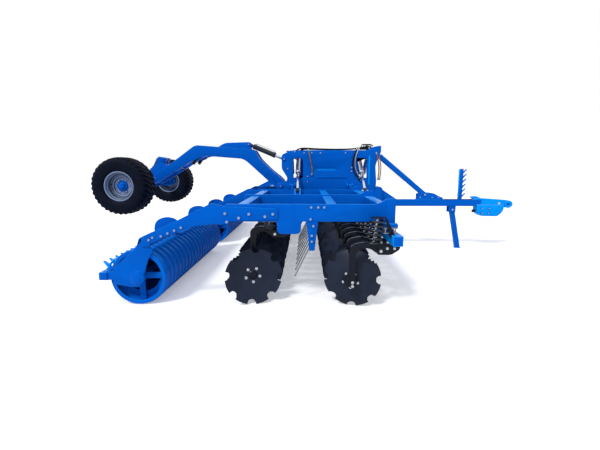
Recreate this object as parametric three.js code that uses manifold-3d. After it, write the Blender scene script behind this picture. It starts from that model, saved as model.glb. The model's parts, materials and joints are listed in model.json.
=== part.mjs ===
// A trailed, folding compact disc harrow, parked on its packer rollers and its drawbar stand.
// Millimetres. +X is the direction of travel, +Y the machine's left side, z = 0 the ground.
import * as THREE from 'three';
import { mergeVertices } from 'three/addons/utils/BufferGeometryUtils.js';
import Module from 'manifold-3d';

const wasm = await Module();
wasm.setup();

// ---- clearances ----
const touchGap = 0.3;          // between pieces that are bolted or pinned face to face
const swingGap = 6;            // between pieces that move past each other
const pinPlay = 1.5;           // radial, pin in its lug
const boreGap = 2;             // radial, rod in its barrel

// ---- overall ----
const outerPlateY = 2900;      // centre of a wing's outer side plate
const plateThick = 25;         // wing side plates
const hitchTipX = 3440;        // front of the towing eye
const drawbarLow = 762;        // drawbar box, bottom and top
const drawbarHigh = 880;

// ---- plates across the machine, from its centre line outwards ----
const towerPlateY = 260;       // centre of each tower plate
const hingeY = towerPlateY + 70;
const innerPlateY = hingeY + 120;

// ---- discs ----
const discR = 305;
const discGroundGap = 3;       // the machine parks on its rollers, so the discs hang just clear
const discDepth = 72;          // dish, rim to centre
const discThick = 7;
const notchCount = 8;
const notchDepth = 50;
const notchHalfAngle = 9;      // degrees
const discAngle = 16;          // degrees from the direction of travel
const hubR = 48;
const hubLength = 84;
const frontRowX = 240;
const rearRowX = -795;
const frontDiscs = 10;         // of each wing
const rearDiscs = 9;
const innerFrontDiscY = { right: innerPlateY - 200 };    // from the centre line, as the three below
const outerFrontDiscY = outerPlateY + 50;                // right-hand end of the front row
const discPitch = (outerFrontDiscY - innerFrontDiscY.right) / (frontDiscs - 1);
innerFrontDiscY.left = innerPlateY + 200 - 2 * discPitch;
const innerRearDiscY = { right: innerPlateY - 50, left: innerPlateY - 250 };
const armOffset = 128;         // arm centre from disc centre, towards the dish's back
const armThick = 40;
const bracketCheek = 12;       // a bracket's cheek, each side of its arm
const springR = 40;            // overload spring's envelope
const springTop = { front: 975, rear: 875 };

// ---- disc beams ----
const beamSize = 100;
const beamEndY = outerPlateY + 220;
const frontBeam = { x: 669, z: 743 };
const rearBeam = { x: -400, z: 835 };

// ---- wing frame ----
const frameLow = 905;
const frameHigh = 1085;
const frameRearX = -1060;
const postRearX = 566;
const postFrontX = 683;
const postHigh = 1140;
const postLow = 890;
const crossTube = 110;
const crossTubeXs = [-900, 50, 610];
const lobe = {                 // round the rear disc beam, which passes through the plates
  rear: rearBeam.x - 120,
  front: rearBeam.x + 125,
  low: rearBeam.z - beamSize / 2 - 10,
  corner: 55,
};
const stake = { x: -160, topHalf: 66, lowHalf: 26, low: 600 };
const tineBar = { x: -172, z: 640, size: 40 };
const tinesPerWing = 10;
const tineEnd = { x: -345, z: 285 };

// ---- wing hinges and fold cylinders ----
const hingeZ = 1120;
const hingeXs = [-455, 520];
const hingePinR = 24;
const lugR = 40;
const wingLugThick = 50;
const centreLugThick = 22;
const foldPivot = { y: towerPlateY - 60, z: 1660 };   // on the far side of the tower from its wing
const foldEye = { y: innerPlateY + 230, z: 1070 };    // on the wing, unfolded
const foldEyeTubeEnd = innerPlateY + 450;             // outer end of the tube that carries the eye
const foldCylinderX = { right: -360, left: -480 };
const foldBarrelR = 45;
const foldBarrelLength = 562;
const foldRodR = 26;
const foldRodInBarrel = 19.5;  // length of rod still in the barrel with the wing unfolded
const foldPinSpan = Math.hypot(foldPivot.y + foldEye.y, foldPivot.z - foldEye.z);
const foldRodLength = foldPinSpan - foldBarrelLength + foldRodInBarrel;
const foldBarrelNeck = 55;     // pivot to the barrel's closed end, and to the bottom of its bore
const foldBoreStart = 85;
const foldEyeR = 38;
const foldEyeThick = 46;

// ---- tower and centre frame ----
const towerPlateThick = 20;
const towerRearX = -640;
const towerFrontX = 1010;
const towerTop = 1730;
const spineLow = 1000;         // longitudinal boxes under the tower
const spineHigh = 1110;
const spineWidth = 90;

// ---- packer rollers ----
const rollerX = -2001;
const rollerR = 300;
const rollerWall = 10;
const rollerInnerY = innerPlateY - 100;
const rollerOuterY = outerPlateY - 15;
const rollerShaftR = 40;
const endPlateThick = 16;
const scraperBeam = { x: rollerX - rollerR - 53, z: rollerR + 22, size: 82 };
const rollerBeam = { x: rollerX + 121, z: rollerR * 2 + 90, size: 90 };
const guardYs = [620, 1990];   // round-topped guard plates that stand over the roller
const guardThick = 16;

// ---- transport arm and wheels ----
const armPivot = { x: -658, z: 1126 };
const armInnerY = towerPlateY - 125;
const armOuterY = towerPlateY - 28;
const axle = { x: -3007, z: 1166, size: 110 };
const tyreR = 433;
const tyreWidth = 400;
const wheelY = 1000;
const rimR = 212;
const wheelHubR = 88;
const liftArmPin = { x: -1228, z: 1840 };
const liftTowerPin = { x: -598, z: 1580 };
const liftBarrelR = 46;
const liftBarrelLength = 505;
const liftRodR = 25;
const liftRodLength = 520;
const liftBarrelNeck = 85;
const liftBoreStart = 120;

// ---- parking stand ----
const standPivot = { x: 2385, z: 700 };
const standFootX = 2527;
const standWidth = 84;
const standHalfY = 38;

// ---------------------------------------------------------------- shapes

const cornerSteps = 2;         // straight steps of a rounded corner
const fineSteps = 5;           // the same, on the large plates that show

// A closed mesh as a solid, with its shared corners joined.
function solidOf(geometry) {
  const bare = geometry.index ? geometry.clone() : geometry;
  bare.deleteAttribute('normal');
  bare.deleteAttribute('uv');
  const joined = mergeVertices(bare, 1e-3);
  return new wasm.Manifold(new wasm.Mesh({
    numProp: 3,
    vertProperties: new Float32Array(joined.attributes.position.array),
    triVerts: new Uint32Array(joined.index.array),
  }));
}

// An outline from [x, z, corner radius] points; a corner with a radius is rounded.
function outline(points, holes = []) {
  const shape = new THREE.Shape();
  points.forEach(([x, z, radius = 0], i) => {
    const before = points[(i + points.length - 1) % points.length];
    const after = points[(i + 1) % points.length];
    if (!radius) {
      if (i) shape.lineTo(x, z);
      else shape.moveTo(x, z);
      return;
    }
    const towards = ([px, pz]) => {
      const away = Math.hypot(px - x, pz - z);
      const cut = Math.min(radius, away / 2 - 0.01) / away;
      return [x + (px - x) * cut, z + (pz - z) * cut];
    };
    if (i) shape.lineTo(...towards(before));
    else shape.moveTo(...towards(before));
    shape.quadraticCurveTo(x, z, ...towards(after));
  });
  shape.closePath();
  holes.forEach(({ x, z, r, across = 0 }) => {
    const hole = new THREE.Path();
    if (across) {
      hole.moveTo(x - across / 2, z - across / 2);
      hole.lineTo(x + across / 2, z - across / 2);
      hole.lineTo(x + across / 2, z + across / 2);
      hole.lineTo(x - across / 2, z + across / 2);
      hole.closePath();
    } else hole.absarc(x, z, r, 0, Math.PI * 2);
    shape.holes.push(hole);
  });
  return shape;
}

// A plate that lies in the XZ plane, from one y to another.
function plateXZ(points, yLow, yHigh, holes, steps = cornerSteps) {
  const settings = { depth: yHigh - yLow, bevelEnabled: false, curveSegments: steps };
  const geometry = new THREE.ExtrudeGeometry(outline(points, holes), settings);
  geometry.rotateX(Math.PI / 2);
  geometry.translate(0, yHigh, 0);
  return solidOf(geometry);
}

// A plate that lies in the YZ plane, from one x to another; its points are [y, z, radius].
function plateYZ(points, xLow, xHigh, holes) {
  const settings = { depth: xHigh - xLow, bevelEnabled: false, curveSegments: cornerSteps };
  const geometry = new THREE.ExtrudeGeometry(outline(points, holes), settings);
  geometry.rotateX(Math.PI / 2);
  geometry.rotateZ(Math.PI / 2);
  geometry.translate(xLow, 0, 0);
  return solidOf(geometry);
}

function box(xLow, xHigh, yLow, yHigh, zLow, zHigh) {
  const geometry = new THREE.BoxGeometry(xHigh - xLow, yHigh - yLow, zHigh - zLow);
  geometry.translate((xLow + xHigh) / 2, (yLow + yHigh) / 2, (zLow + zHigh) / 2);
  return solidOf(geometry);
}

// A round bar between two points.
function rod(from, to, radius, sides = 12) {
  const a = new THREE.Vector3(...from);
  const b = new THREE.Vector3(...to);
  const geometry = new THREE.CylinderGeometry(radius, radius, a.distanceTo(b), sides);
  const along = b.clone().sub(a).normalize();
  const turn = new THREE.Quaternion().setFromUnitVectors(new THREE.Vector3(0, 1, 0), along);
  geometry.applyQuaternion(turn);
  geometry.translate(...a.add(b).multiplyScalar(0.5).toArray());
  return solidOf(geometry);
}

// A straight flat bar in the XZ plane, with square ends.
function strutXZ(from, to, width, yLow, yHigh) {
  const [dx, dz] = [to[0] - from[0], to[1] - from[1]];
  const half = width / 2 / Math.hypot(dx, dz);
  const [nx, nz] = [-dz * half, dx * half];
  return plateXZ([
    [from[0] - nx, from[1] - nz], [to[0] - nx, to[1] - nz],
    [to[0] + nx, to[1] + nz], [from[0] + nx, from[1] + nz],
  ], yLow, yHigh);
}

const join = (...solids) => wasm.Manifold.union(solids.flat());

// Mirrors y for the left-hand side: an interval of |y| on side -1 (right) or +1 (left).
const onSide = (side, near, far) => (side < 0 ? [-far, -near] : [near, far]);

const colours = {
  blue: [0x0062cd, 0.35, 0.1],
  cyan: [0x22a4ff, 0.4, 0.1],
  black: [0x14161b, 0.45, 0.3],
  tyre: [0x1b1f2b, 0.85, 0],
  steel: [0x9aa0a6, 0.3, 0.9],
};
const harrow = new THREE.Group();

// Puts a solid into the scene as a named mesh.
function add(name, solid, colour, placed = harrow) {
  const { vertProperties, triVerts } = solid.getMesh();
  const geometry = new THREE.BufferGeometry();
  geometry.setAttribute('position', new THREE.BufferAttribute(new Float32Array(vertProperties), 3));
  geometry.setIndex(new THREE.BufferAttribute(new Uint32Array(triVerts), 1));
  geometry.computeVertexNormals();
  const [color, roughness, metalness] = colours[colour];
  const mesh = new THREE.Mesh(geometry, new THREE.MeshStandardMaterial({ color, roughness, metalness }));
  mesh.name = name;
  placed.add(mesh);
  return mesh;
}

// ---------------------------------------------------------------- centre frame and tower

const hingeLugXs = hingeXs.flatMap((x) => [-1, 1].map((end) => {
  const middle = x + end * (wingLugThick / 2 + swingGap + centreLugThick / 2);
  return [middle - centreLugThick / 2, middle + centreLugThick / 2];
}));
const hingePinHalf = wingLugThick / 2 + swingGap + centreLugThick;

// The side plate of the tower, with the windows that the fold cylinders work through.
function towerPlate(side) {
  const windowX = side < 0 ? foldCylinderX.right : foldCylinderX.left;
  const [yLow, yHigh] = onSide(side, towerPlateY - towerPlateThick / 2, towerPlateY + towerPlateThick / 2);
  const plate = plateXZ([
    [towerRearX, 1420, 40], [-530, 1250, 60], [-600, spineHigh + 60, 30], [-600, spineLow, 20],
    [towerFrontX - 100, spineLow, 20], [towerFrontX - 30, 1150, 60], [towerFrontX - 60, 1480, 60],
    [towerFrontX + 30, 1700, 20], [towerFrontX + 30, towerTop + 75, 20],
    [towerFrontX - 90, towerTop + 60, 40], [towerFrontX - 180, towerTop, 20],
    [-470, towerTop, 60], [towerRearX, 1655, 40],
  ], yLow, yHigh, [], fineSteps);
  const windowPoints = [
    [windowX - 85, 1250, 60], [windowX + 85, 1250, 60],
    [windowX + 85, 1600, 70], [windowX - 85, 1600, 70],
  ];
  const slotPoints = [[-60, 1395, 15], [290, 1395, 15], [290, 1430, 15], [-60, 1430, 15]];
  return plate
    .subtract(plateXZ(windowPoints, yLow - 5, yHigh + 5, [], fineSteps))
    .subtract(plateXZ(slotPoints, yLow - 5, yHigh + 5));
}

function centreFrame() {
  const inner = towerPlateY - towerPlateThick / 2;
  const pieces = [];
  for (const side of [-1, 1]) {
    pieces.push(towerPlate(side));
    const [spineA, spineB] = onSide(side, inner - spineWidth + 1, inner + 1);
    pieces.push(box(-500, towerFrontX + 60, spineA, spineB, spineLow, spineHigh));
    // hinge lugs reach out from the tower plate to the wing's hinge line
    for (const [xLow, xHigh] of hingeLugXs) {
      pieces.push(plateYZ([
        [side * (inner + 5), spineLow + 10], [side * (hingeY + 5), hingeZ - lugR],
        [side * (hingeY + lugR), hingeZ - lugR, 30], [side * (hingeY + lugR), hingeZ + lugR, 30],
        [side * (hingeY - 10), hingeZ + lugR], [side * (inner + 5), hingeZ + 60],
      ], xLow, xHigh));
    }
    for (const x of hingeXs) {
      pieces.push(rod([x - hingePinHalf, side * hingeY, hingeZ], [x + hingePinHalf, side * hingeY, hingeZ],
        hingePinR));
    }
  }
  // cross members between the two tower plates
  pieces.push(box(-420, -290, -inner - 1, inner + 1, spineLow, spineHigh));
  pieces.push(box(250, 370, -inner - 1, inner + 1, spineLow, spineHigh));
  pieces.push(box(880, towerFrontX + 60, -inner - 1, inner + 1, drawbarLow - 20, spineHigh));
  pieces.push(box(60, 180, -inner - 1, inner + 1, 1560, 1680));
  pieces.push(box(towerFrontX - 80, towerFrontX + 20, -inner - 1, inner + 1, 1640, 1740));
  // ears that hold the lift cylinder's rod end
  for (const side of [-1, 1]) {
    const [earA, earB] = onSide(side, 34, 54);
    pieces.push(plateXZ([
      [liftTowerPin.x - 40, liftTowerPin.z + 15], [liftTowerPin.x - 15, liftTowerPin.z - 100],
      [liftTowerPin.x + 58, liftTowerPin.z - 100], [liftTowerPin.x + 40, liftTowerPin.z + 15],
      [liftTowerPin.x, liftTowerPin.z + 45],
    ], earA, earB));
  }
  pieces.push(box(liftTowerPin.x - 5, liftTowerPin.x + 58, -inner - 1, inner + 1,
    liftTowerPin.z - 150, liftTowerPin.z - 75));
  // pivots of the fold cylinders: a pair of ears for each, hung from a bar under the tower's top
  for (const [side, x] of [[-1, foldCylinderX.right], [1, foldCylinderX.left]]) {
    for (const end of [-1, 1]) {
      const middle = x + end * (foldEyeThick / 2 + 5 + 7);
      const y = -side * foldPivot.y;
      pieces.push(plateYZ([
        [y - 38, foldPivot.z - 38, 26], [y + 38, foldPivot.z - 38, 26],
        [y + 38, foldPivot.z + 60], [y - 38, foldPivot.z + 60],
      ], middle - 7, middle + 7));
    }
  }
  pieces.push(box(-560, -270, -inner - 1, inner + 1, foldPivot.z + 48, towerTop - 8));
  // journal for the transport arm, and the ears round it
  pieces.push(rod([armPivot.x, -inner - 8, armPivot.z], [armPivot.x, inner + 8, armPivot.z], 30, 16));
  for (const side of [-1, 1]) {
    const [earA, earB] = onSide(side, armOuterY + swingGap, inner + towerPlateThick);
    pieces.push(plateXZ([
      [armPivot.x - 75, armPivot.z - 60, 50], [armPivot.x + 160, spineLow + 10],
      [armPivot.x + 160, armPivot.z + 60, 20], [armPivot.x - 75, armPivot.z + 60, 50],
    ], earA, earB));
  }
  return join(pieces);
}

// ---------------------------------------------------------------- drawbar

function drawbar() {
  const half = 60;
  const rear = towerFrontX + 60 + touchGap;
  const pieces = [
    box(rear, 2880, -half, half, drawbarLow, drawbarHigh),
    // head plate against the centre frame
    box(rear, rear + 25, -230, 230, drawbarLow - 20, spineHigh - 20),
    // gussets from the head plate
    plateXZ([[rear + 20, drawbarHigh - 5], [rear + 330, drawbarHigh - 5], [rear + 20, spineHigh - 30]],
      -half, -half + 14),
    plateXZ([[rear + 20, drawbarHigh - 5], [rear + 330, drawbarHigh - 5], [rear + 20, spineHigh - 30]],
      half - 14, half),
    // brace from the tower's top to its round-topped seat on the drawbar
    strutXZ([towerFrontX + 55, 1638], [1880, 965], 85, -36, 36),
    plateXZ([[1750, drawbarHigh - 5], [2204, drawbarHigh - 5], [2204, 915, 15], [2130, 935, 40],
      [2050, 992, 60], [1880, 1003, 40], [1750, 980, 15]], -52, -38),
    plateXZ([[1750, drawbarHigh - 5], [2204, drawbarHigh - 5], [2204, 915, 15], [2130, 935, 40],
      [2050, 992, 60], [1880, 1003, 40], [1750, 980, 15]], 38, 52),
    rod([1880, -52, 962], [1880, 52, 962], 20),
    // hose post
    box(2485, 2555, -6, 6, drawbarHigh - 5, 1416),
    // cheeks that hold the stand
    box(standPivot.x - 70, standPivot.x + 55, -standHalfY - 5 - 12, -standHalfY - 5,
      standPivot.z - 48, drawbarLow + 5),
    box(standPivot.x - 70, standPivot.x + 55, standHalfY + 5, standHalfY + 5 + 12,
      standPivot.z - 48, drawbarLow + 5),
  ];
  // slanted teeth of the hose post
  for (let tooth = 0; tooth < 6; tooth += 1) {
    const z = 915 + tooth * 84;
    pieces.push(strutXZ([2548, z], [2600, z + 62], 12, -6, 6));
  }
  // hitch head: a fork block below and a plate with the towing eye above
  pieces.push(plateXZ([
    [2725, 800], [2725, 892, 30], [2860, 905, 30], [3330, 872, 40], [hitchTipX, 850, 60],
    [hitchTipX, 742, 60], [3300, 735, 40], [3180, 782, 30], [2880, 782],
  ], -55, 55, [{ x: hitchTipX - 85, z: 792, r: 30 }]));
  pieces.push(plateXZ([
    [2800, 790], [3270, 790, 30], [3275, 690, 60], [3180, 582, 50], [2860, 590, 40], [2800, 660, 30],
  ], -85, 85));
  return join(pieces);
}

// The stand's foot is cut level, so that it stands flat on the ground.
function parkingStand() {
  const top = [standPivot.x, standPivot.z];
  const lean = (standFootX - standPivot.x) / standPivot.z;
  const half = standWidth / 2;
  const pieces = [
    plateXZ([
      [standFootX - half, 0], [standFootX + half, 0],
      [top[0] + half + lean * 20, top[1] - 20], [top[0] + half, top[1] + 40, 30],
      [top[0] - half, top[1] + 40, 30], [top[0] - half + lean * 20, top[1] - 20],
    ], -standHalfY, standHalfY),
  ];
  return join(pieces);
}

// ---------------------------------------------------------------- wings

// One longitudinal plate of a wing: its beam lobe, front post and stake for the tines.
function wingPlate(side, y, hole) {
  const [yLow, yHigh] = [side * y - plateThick / 2, side * y + plateThick / 2];
  const holes = hole ? [{ x: rearBeam.x, z: rearBeam.z, across: beamSize + 2 * touchGap }] : [];
  const plate = plateXZ([
    [frameRearX, frameLow, 40], [lobe.rear, frameLow, 30], [lobe.rear, lobe.low, lobe.corner],
    [lobe.front, lobe.low, lobe.corner], [lobe.front, frameLow, 30],
    [postRearX, frameLow, 15], [postRearX, postLow], [postFrontX, postLow],
    [postFrontX, postHigh, 20], [postRearX + 20, postHigh, 30], [postRearX - 60, frameHigh, 60],
    [frameRearX, frameHigh, 40],
  ], yLow, yHigh, holes, fineSteps);
  const stakePlate = plateXZ([
    [stake.x - stake.topHalf, frameLow + 30], [stake.x - stake.topHalf + 20, stake.low + 180],
    [stake.x - stake.lowHalf, stake.low], [stake.x + stake.lowHalf, stake.low],
    [stake.x + stake.topHalf - 20, stake.low + 180], [stake.x + stake.topHalf, frameLow + 30],
  ], yLow + 5, yHigh - 5);
  const flange = box(postRearX - 12, postFrontX + 12, side * y - 90, side * y + 90, postLow - 32, postLow + 1);
  return [plate, stakePlate, flange];
}

function wingFrame(side) {
  const pieces = [
    wingPlate(side, outerPlateY, false),
    wingPlate(side, middlePlateY, true),
    wingPlate(side, innerPlateY, true),
  ].flat();
  const [near, far] = onSide(side, innerPlateY, outerPlateY);
  for (const x of crossTubeXs) {
    pieces.push(box(x - crossTube / 2, x + crossTube / 2, near, far, frameHigh - 20 - crossTube, frameHigh - 20));
  }
  const tineHalf = tineBar.size / 2;
  pieces.push(box(tineBar.x - tineHalf, tineBar.x + tineHalf, near, far,
    tineBar.z - tineHalf, tineBar.z + tineHalf));
  const tineStep = (outerPlateY - innerPlateY) / tinesPerWing;
  for (let tine = 0; tine < tinesPerWing; tine += 1) {
    const y = side * (innerPlateY + tineStep * (tine + 0.5));
    pieces.push(strutXZ([tineBar.x, tineBar.z], [tineEnd.x, tineEnd.z], 14, y - 7, y + 7));
  }
  // hinge lugs reach in from the inner plate to the hinge line
  for (const x of hingeXs) {
    const lug = plateYZ([
      [side * (innerPlateY + 10), frameHigh - 110], [side * (hingeY - lugR), hingeZ - lugR, 34],
      [side * (hingeY - lugR), hingeZ + lugR, 34], [side * (innerPlateY + 10), hingeZ + lugR, 20],
    ], x - wingLugThick / 2, x + wingLugThick / 2);
    const bore = rod([x - wingLugThick, side * hingeY, hingeZ], [x + wingLugThick, side * hingeY, hingeZ],
      hingePinR + pinPlay);
    pieces.push(lug.subtract(bore));
  }
  // cheeks each side of the fold cylinder's eye, on a tube between the inner and middle plates
  const eyeX = side < 0 ? foldCylinderX.right : foldCylinderX.left;
  const [barNear, barFar] = onSide(side, innerPlateY, foldEyeTubeEnd);
  pieces.push(box(eyeX - 60, eyeX + 60, barNear, barFar, frameLow + 5, frameLow + 85));
  for (const end of [-1, 1]) {
    const middle = eyeX + end * (Math.max(foldEyeThick / 2, foldRodR) + swingGap + 8);
    pieces.push(plateYZ([
      [side * (foldEye.y - 110), frameLow + 60], [side * (foldEye.y + 110), frameLow + 60],
      [side * (foldEye.y + 38), foldEye.z + 38, 30], [side * (foldEye.y - 38), foldEye.z + 38, 30],
    ], middle - 8, middle + 8));
  }
  return join(pieces);
}

// ---------------------------------------------------------------- disc rows

// y of each disc of a wing's row, from the right-hand end to the left-hand end. The dishes face the
// same way on both wings, so the two wings' inner discs stand at different distances from the centre.
function rowYs(row, side) {
  const inner = row === 'front' ? innerFrontDiscY : innerRearDiscY;
  const count = row === 'front' ? frontDiscs : rearDiscs;
  const first = side < 0 ? -inner.right - (count - 1) * discPitch : inner.left;
  return Array.from({ length: count }, (_, i) => first + i * discPitch);
}

// The dish opens to the left in the front row and to the right in the rear row.
const dishSide = (row) => (row === 'front' ? 1 : -1);

// The middle plate of a wing stands at the place nearest to halfway between the other two where it
// is clear of the arms and springs of both rows, on both wings.
function clearPlateY() {
  const halfway = (innerPlateY + outerPlateY) / 2 - 35;
  const armReach = { front: springR, rear: armThick / 2 + bracketCheek };
  const isClear = (y) => ['front', 'rear'].every((row) => [-1, 1].every((side) => (
    rowYs(row, side).every((discY) => {
      const armY = side * (discY - dishSide(row) * armOffset);
      return Math.abs(armY - y) > armReach[row] + plateThick / 2 + touchGap;
    })
  )));
  for (let shift = 0; shift < discPitch; shift += 1) {
    if (isClear(halfway + shift)) return halfway + shift;
    if (isClear(halfway - shift)) return halfway - shift;
  }
  return halfway;
}

const middlePlateY = clearPlateY();

// One disc with its hub, its axle along y and its dish opening towards +y.
function discGeometry() {
  const back = -discThick;
  const profile = [
    [0, back - hubLength], [hubR, back - hubLength], [hubR, back],
    [discR, discDepth], [0, 0],
  ].map(([r, y]) => new THREE.Vector2(r, y));
  const geometry = new THREE.LatheGeometry(profile, notchCount * 3);
  const step = Math.PI * 2 / (notchCount * 3);
  const place = geometry.attributes.position;
  for (let i = 0; i < place.count; i += 1) {
    const radius = Math.hypot(place.getX(i), place.getZ(i));
    if (radius < discR - 1) continue;
    // every third spoke is the bottom of a notch, and its neighbours are drawn in to its edges
    const spoke = Math.round(Math.atan2(place.getX(i), place.getZ(i)) / step);
    const third = ((spoke % 3) + 3) % 3;
    const shift = [0, -1, 1][third] * (step - notchHalfAngle * Math.PI / 180);
    const angle = spoke * step + shift;
    const reach = third ? discR : discR - notchDepth;
    place.setXYZ(i, Math.sin(angle) * reach, place.getY(i), Math.cos(angle) * reach);
  }
  return geometry;
}

function addDiscs(row, side) {
  const name = side < 0 ? 'right' : 'left';
  const centre = { x: row === 'front' ? frontRowX : rearRowX, z: discR + discGroundGap };
  const solid = solidOf(discGeometry());
  rowYs(row, side).forEach((y, i) => {
    const mesh = add(`disc_${row}_${name}_${i + 1}`, solid, 'black');
    // the dish's mouth faces forward by the disc angle in both rows
    if (dishSide(row) < 0) mesh.rotation.z = Math.PI + discAngle * Math.PI / 180;
    else mesh.rotation.z = -discAngle * Math.PI / 180;
    mesh.position.set(centre.x, y, centre.z);
  });
}

// A beam with one curved arm for each disc, and the block of its overload spring.
function discArms(row, side) {
  const beam = row === 'front' ? frontBeam : rearBeam;
  const rowX = row === 'front' ? frontRowX : rearRowX;
  const hubZ = discR + discGroundGap;
  const behind = -dishSide(row);
  const ys = rowYs(row, side).map((y) => y + behind * armOffset);
  const half = beamSize / 2;
  const reach = row === 'front' ? beamEndY : outerPlateY - plateThick / 2 - 1;
  const innerEnd = side < 0 ? Math.max(...ys) + armThick + 10 : Math.min(...ys) - armThick - 10;
  const [yLow, yHigh] = side < 0 ? [-reach, innerEnd] : [innerEnd, reach];
  const pieces = [box(beam.x - half, beam.x + half, yLow, yHigh, beam.z - half, beam.z + half)];
  if (row === 'front') {
    // seats that meet the flanges of the wing's posts
    for (const y of [outerPlateY, middlePlateY, innerPlateY]) {
      pieces.push(box(postRearX - 12, postFrontX + 12, side * y - 80, side * y + 80,
        beam.z + half - 5, postLow - 32 - touchGap));
    }
  }
  const pivot = [beam.x - 161, beam.z - 99];
  for (const y of ys) {
    const [armA, armB] = [y - armThick / 2, y + armThick / 2];
    // pivot bracket under the beam
    pieces.push(plateXZ([
      [beam.x + 30, beam.z - half + 5], [beam.x - 190, beam.z - half - 5],
      [beam.x - 205, pivot[1] - 35], [beam.x - 60, pivot[1] - 40],
    ], armA - bracketCheek, armB + bracketCheek));
    // arm: back from the pivot, over a bend and straight down to the hub
    pieces.push(plateXZ([
      [pivot[0] + 5, pivot[1] - 30], [pivot[0] + 5, pivot[1] + 30],
      [pivot[0] - 130, pivot[1] + 85], [pivot[0] - 220, pivot[1] + 75], [rowX - 36, pivot[1] - 35],
      [rowX - 34, hubZ - 45], [rowX + 34, hubZ - 45], [rowX + 30, pivot[1] - 70],
      [pivot[0] - 190, pivot[1] + 8], [pivot[0] - 130, pivot[1] + 20],
    ], armA, armB));
    // overload spring's envelope, upright behind the beam
    const foot = [beam.x - 234, beam.z - 70];
    pieces.push(rod([foot[0], y, foot[1]], [foot[0] + 45, y, springTop[row]], springR, 6));
  }
  return join(pieces);
}

// ---------------------------------------------------------------- packer rollers

// Side plate of the roller: from the roller arm down to the bearing and back to the scraper.
function rollerEndPlate(yLow, yHigh) {
  const from = ([x, z, corner]) => [rollerX + x, rollerR + z, corner];
  return plateXZ([
    [42, 425, 20], [114, 462, 20], [181, 287, 20], [127, 196, 20], [71, 30, 30],
    [26, -100, 30], [-69, -100, 30], [-252, -69, 20], [-246, 104, 20], [13, 335, 30],
  ].map(from), yLow, yHigh, [], fineSteps);
}

// Flat arm that is bolted to a wing plate and reaches back over the roller.
function rollerArm(yLow, yHigh) {
  return plateXZ([
    [-510, frameHigh - 45, 30], [-510, frameLow + 25, 30], [-980, frameLow + 10, 30],
    [frameRearX, frameLow - 35, 50], [frameRearX - 106, frameLow - 24, 30], [-1401, 850, 60],
    [rollerBeam.x + 211, rollerBeam.z + 57, 40], [rollerBeam.x + 50, rollerBeam.z - 18, 20],
    [rollerBeam.x - 25, rollerBeam.z + 62, 20], [rollerBeam.x + 334, rollerBeam.z + 224, 60],
    [-1181, frameHigh + 13, 40], [frameRearX, frameHigh - 23, 60],
  ], yLow, yHigh, [], fineSteps);
}

function rollerFrame(side) {
  const pieces = [];
  const armOut = outerPlateY + plateThick / 2 + touchGap;
  const armIn = innerPlateY - plateThick / 2 - touchGap;
  const plates = [
    [armOut, armOut + 20, rollerOuterY + swingGap + 2],
    [armIn - 20, armIn, rollerInnerY - swingGap - 2 - endPlateThick],
  ];
  for (const [near, far, plateNear] of plates) {
    pieces.push(rollerArm(...onSide(side, near, far)));
    pieces.push(rollerEndPlate(...onSide(side, plateNear, plateNear + endPlateThick)));
  }
  const innerFace = rollerInnerY - swingGap - 2 - endPlateThick;
  const outerFace = armOut + 20;
  const [near, far] = onSide(side, innerFace, outerFace);
  const topHalf = rollerBeam.size / 2;
  pieces.push(box(rollerBeam.x - topHalf, rollerBeam.x + topHalf, near, far,
    rollerBeam.z - topHalf, rollerBeam.z + topHalf));
  const lowHalf = scraperBeam.size / 2;
  pieces.push(box(scraperBeam.x - lowHalf, scraperBeam.x + lowHalf, near, far,
    scraperBeam.z - lowHalf, scraperBeam.z + lowHalf));
  // links from the end plates to the scraper beam
  for (const [, , plateNear] of plates) {
    const [linkA, linkB] = onSide(side, plateNear, plateNear + endPlateThick);
    pieces.push(box(scraperBeam.x, rollerX - 239, linkA, linkB, scraperBeam.z - 45, scraperBeam.z + 45));
  }
  for (const y of guardYs) {
    pieces.push(plateXZ([
      [121, 20], [156, 60, 20], [151, 190, 90], [1, 235, 110], [-149, 180, 110], [-174, 40, 40], [-99, 16, 30],
    ].map(([x, z, corner]) => [rollerX + x, rollerR * 2 + z, corner]),
    ...onSide(side, y - guardThick / 2, y + guardThick / 2), [], fineSteps));
  }
  // bearing stubs that the roller turns on
  pieces.push(rod([rollerX, side * (innerFace + 2), rollerR], [rollerX, side * (rollerInnerY - 2), rollerR], 46, 12));
  pieces.push(rod([rollerX, side * (rollerOuterY + 2), rollerR], [rollerX, side * (outerFace - 2), rollerR], 46, 12));
  return join(pieces);
}

// Ring packer: an open-ended drum on a through shaft with a spoked wheel near each end.
function packerRoller(side) {
  const [yLow, yHigh] = onSide(side, rollerInnerY, rollerOuterY);
  const profile = [
    [rollerR - rollerWall, 0], [rollerR, 0], [rollerR, yHigh - yLow], [rollerR - rollerWall, yHigh - yLow],
    [rollerR - rollerWall, 0],
  ].map(([r, y]) => new THREE.Vector2(r, y));
  const drum = new THREE.LatheGeometry(profile, 24);
  drum.translate(rollerX, yLow, rollerR);
  const pieces = [solidOf(drum)];
  pieces.push(rod([rollerX, yLow, rollerR], [rollerX, yHigh, rollerR], rollerShaftR, 10));
  for (const y of [yLow + 90, yHigh - 90]) {
    const spoke = rollerR - rollerWall / 2;
    pieces.push(box(rollerX - spoke, rollerX + spoke, y - 6, y + 6, rollerR - 35, rollerR + 35));
    pieces.push(box(rollerX - 35, rollerX + 35, y - 6, y + 6, rollerR - spoke, rollerR + spoke));
  }
  return join(pieces);
}

// ---------------------------------------------------------------- transport arm

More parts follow.
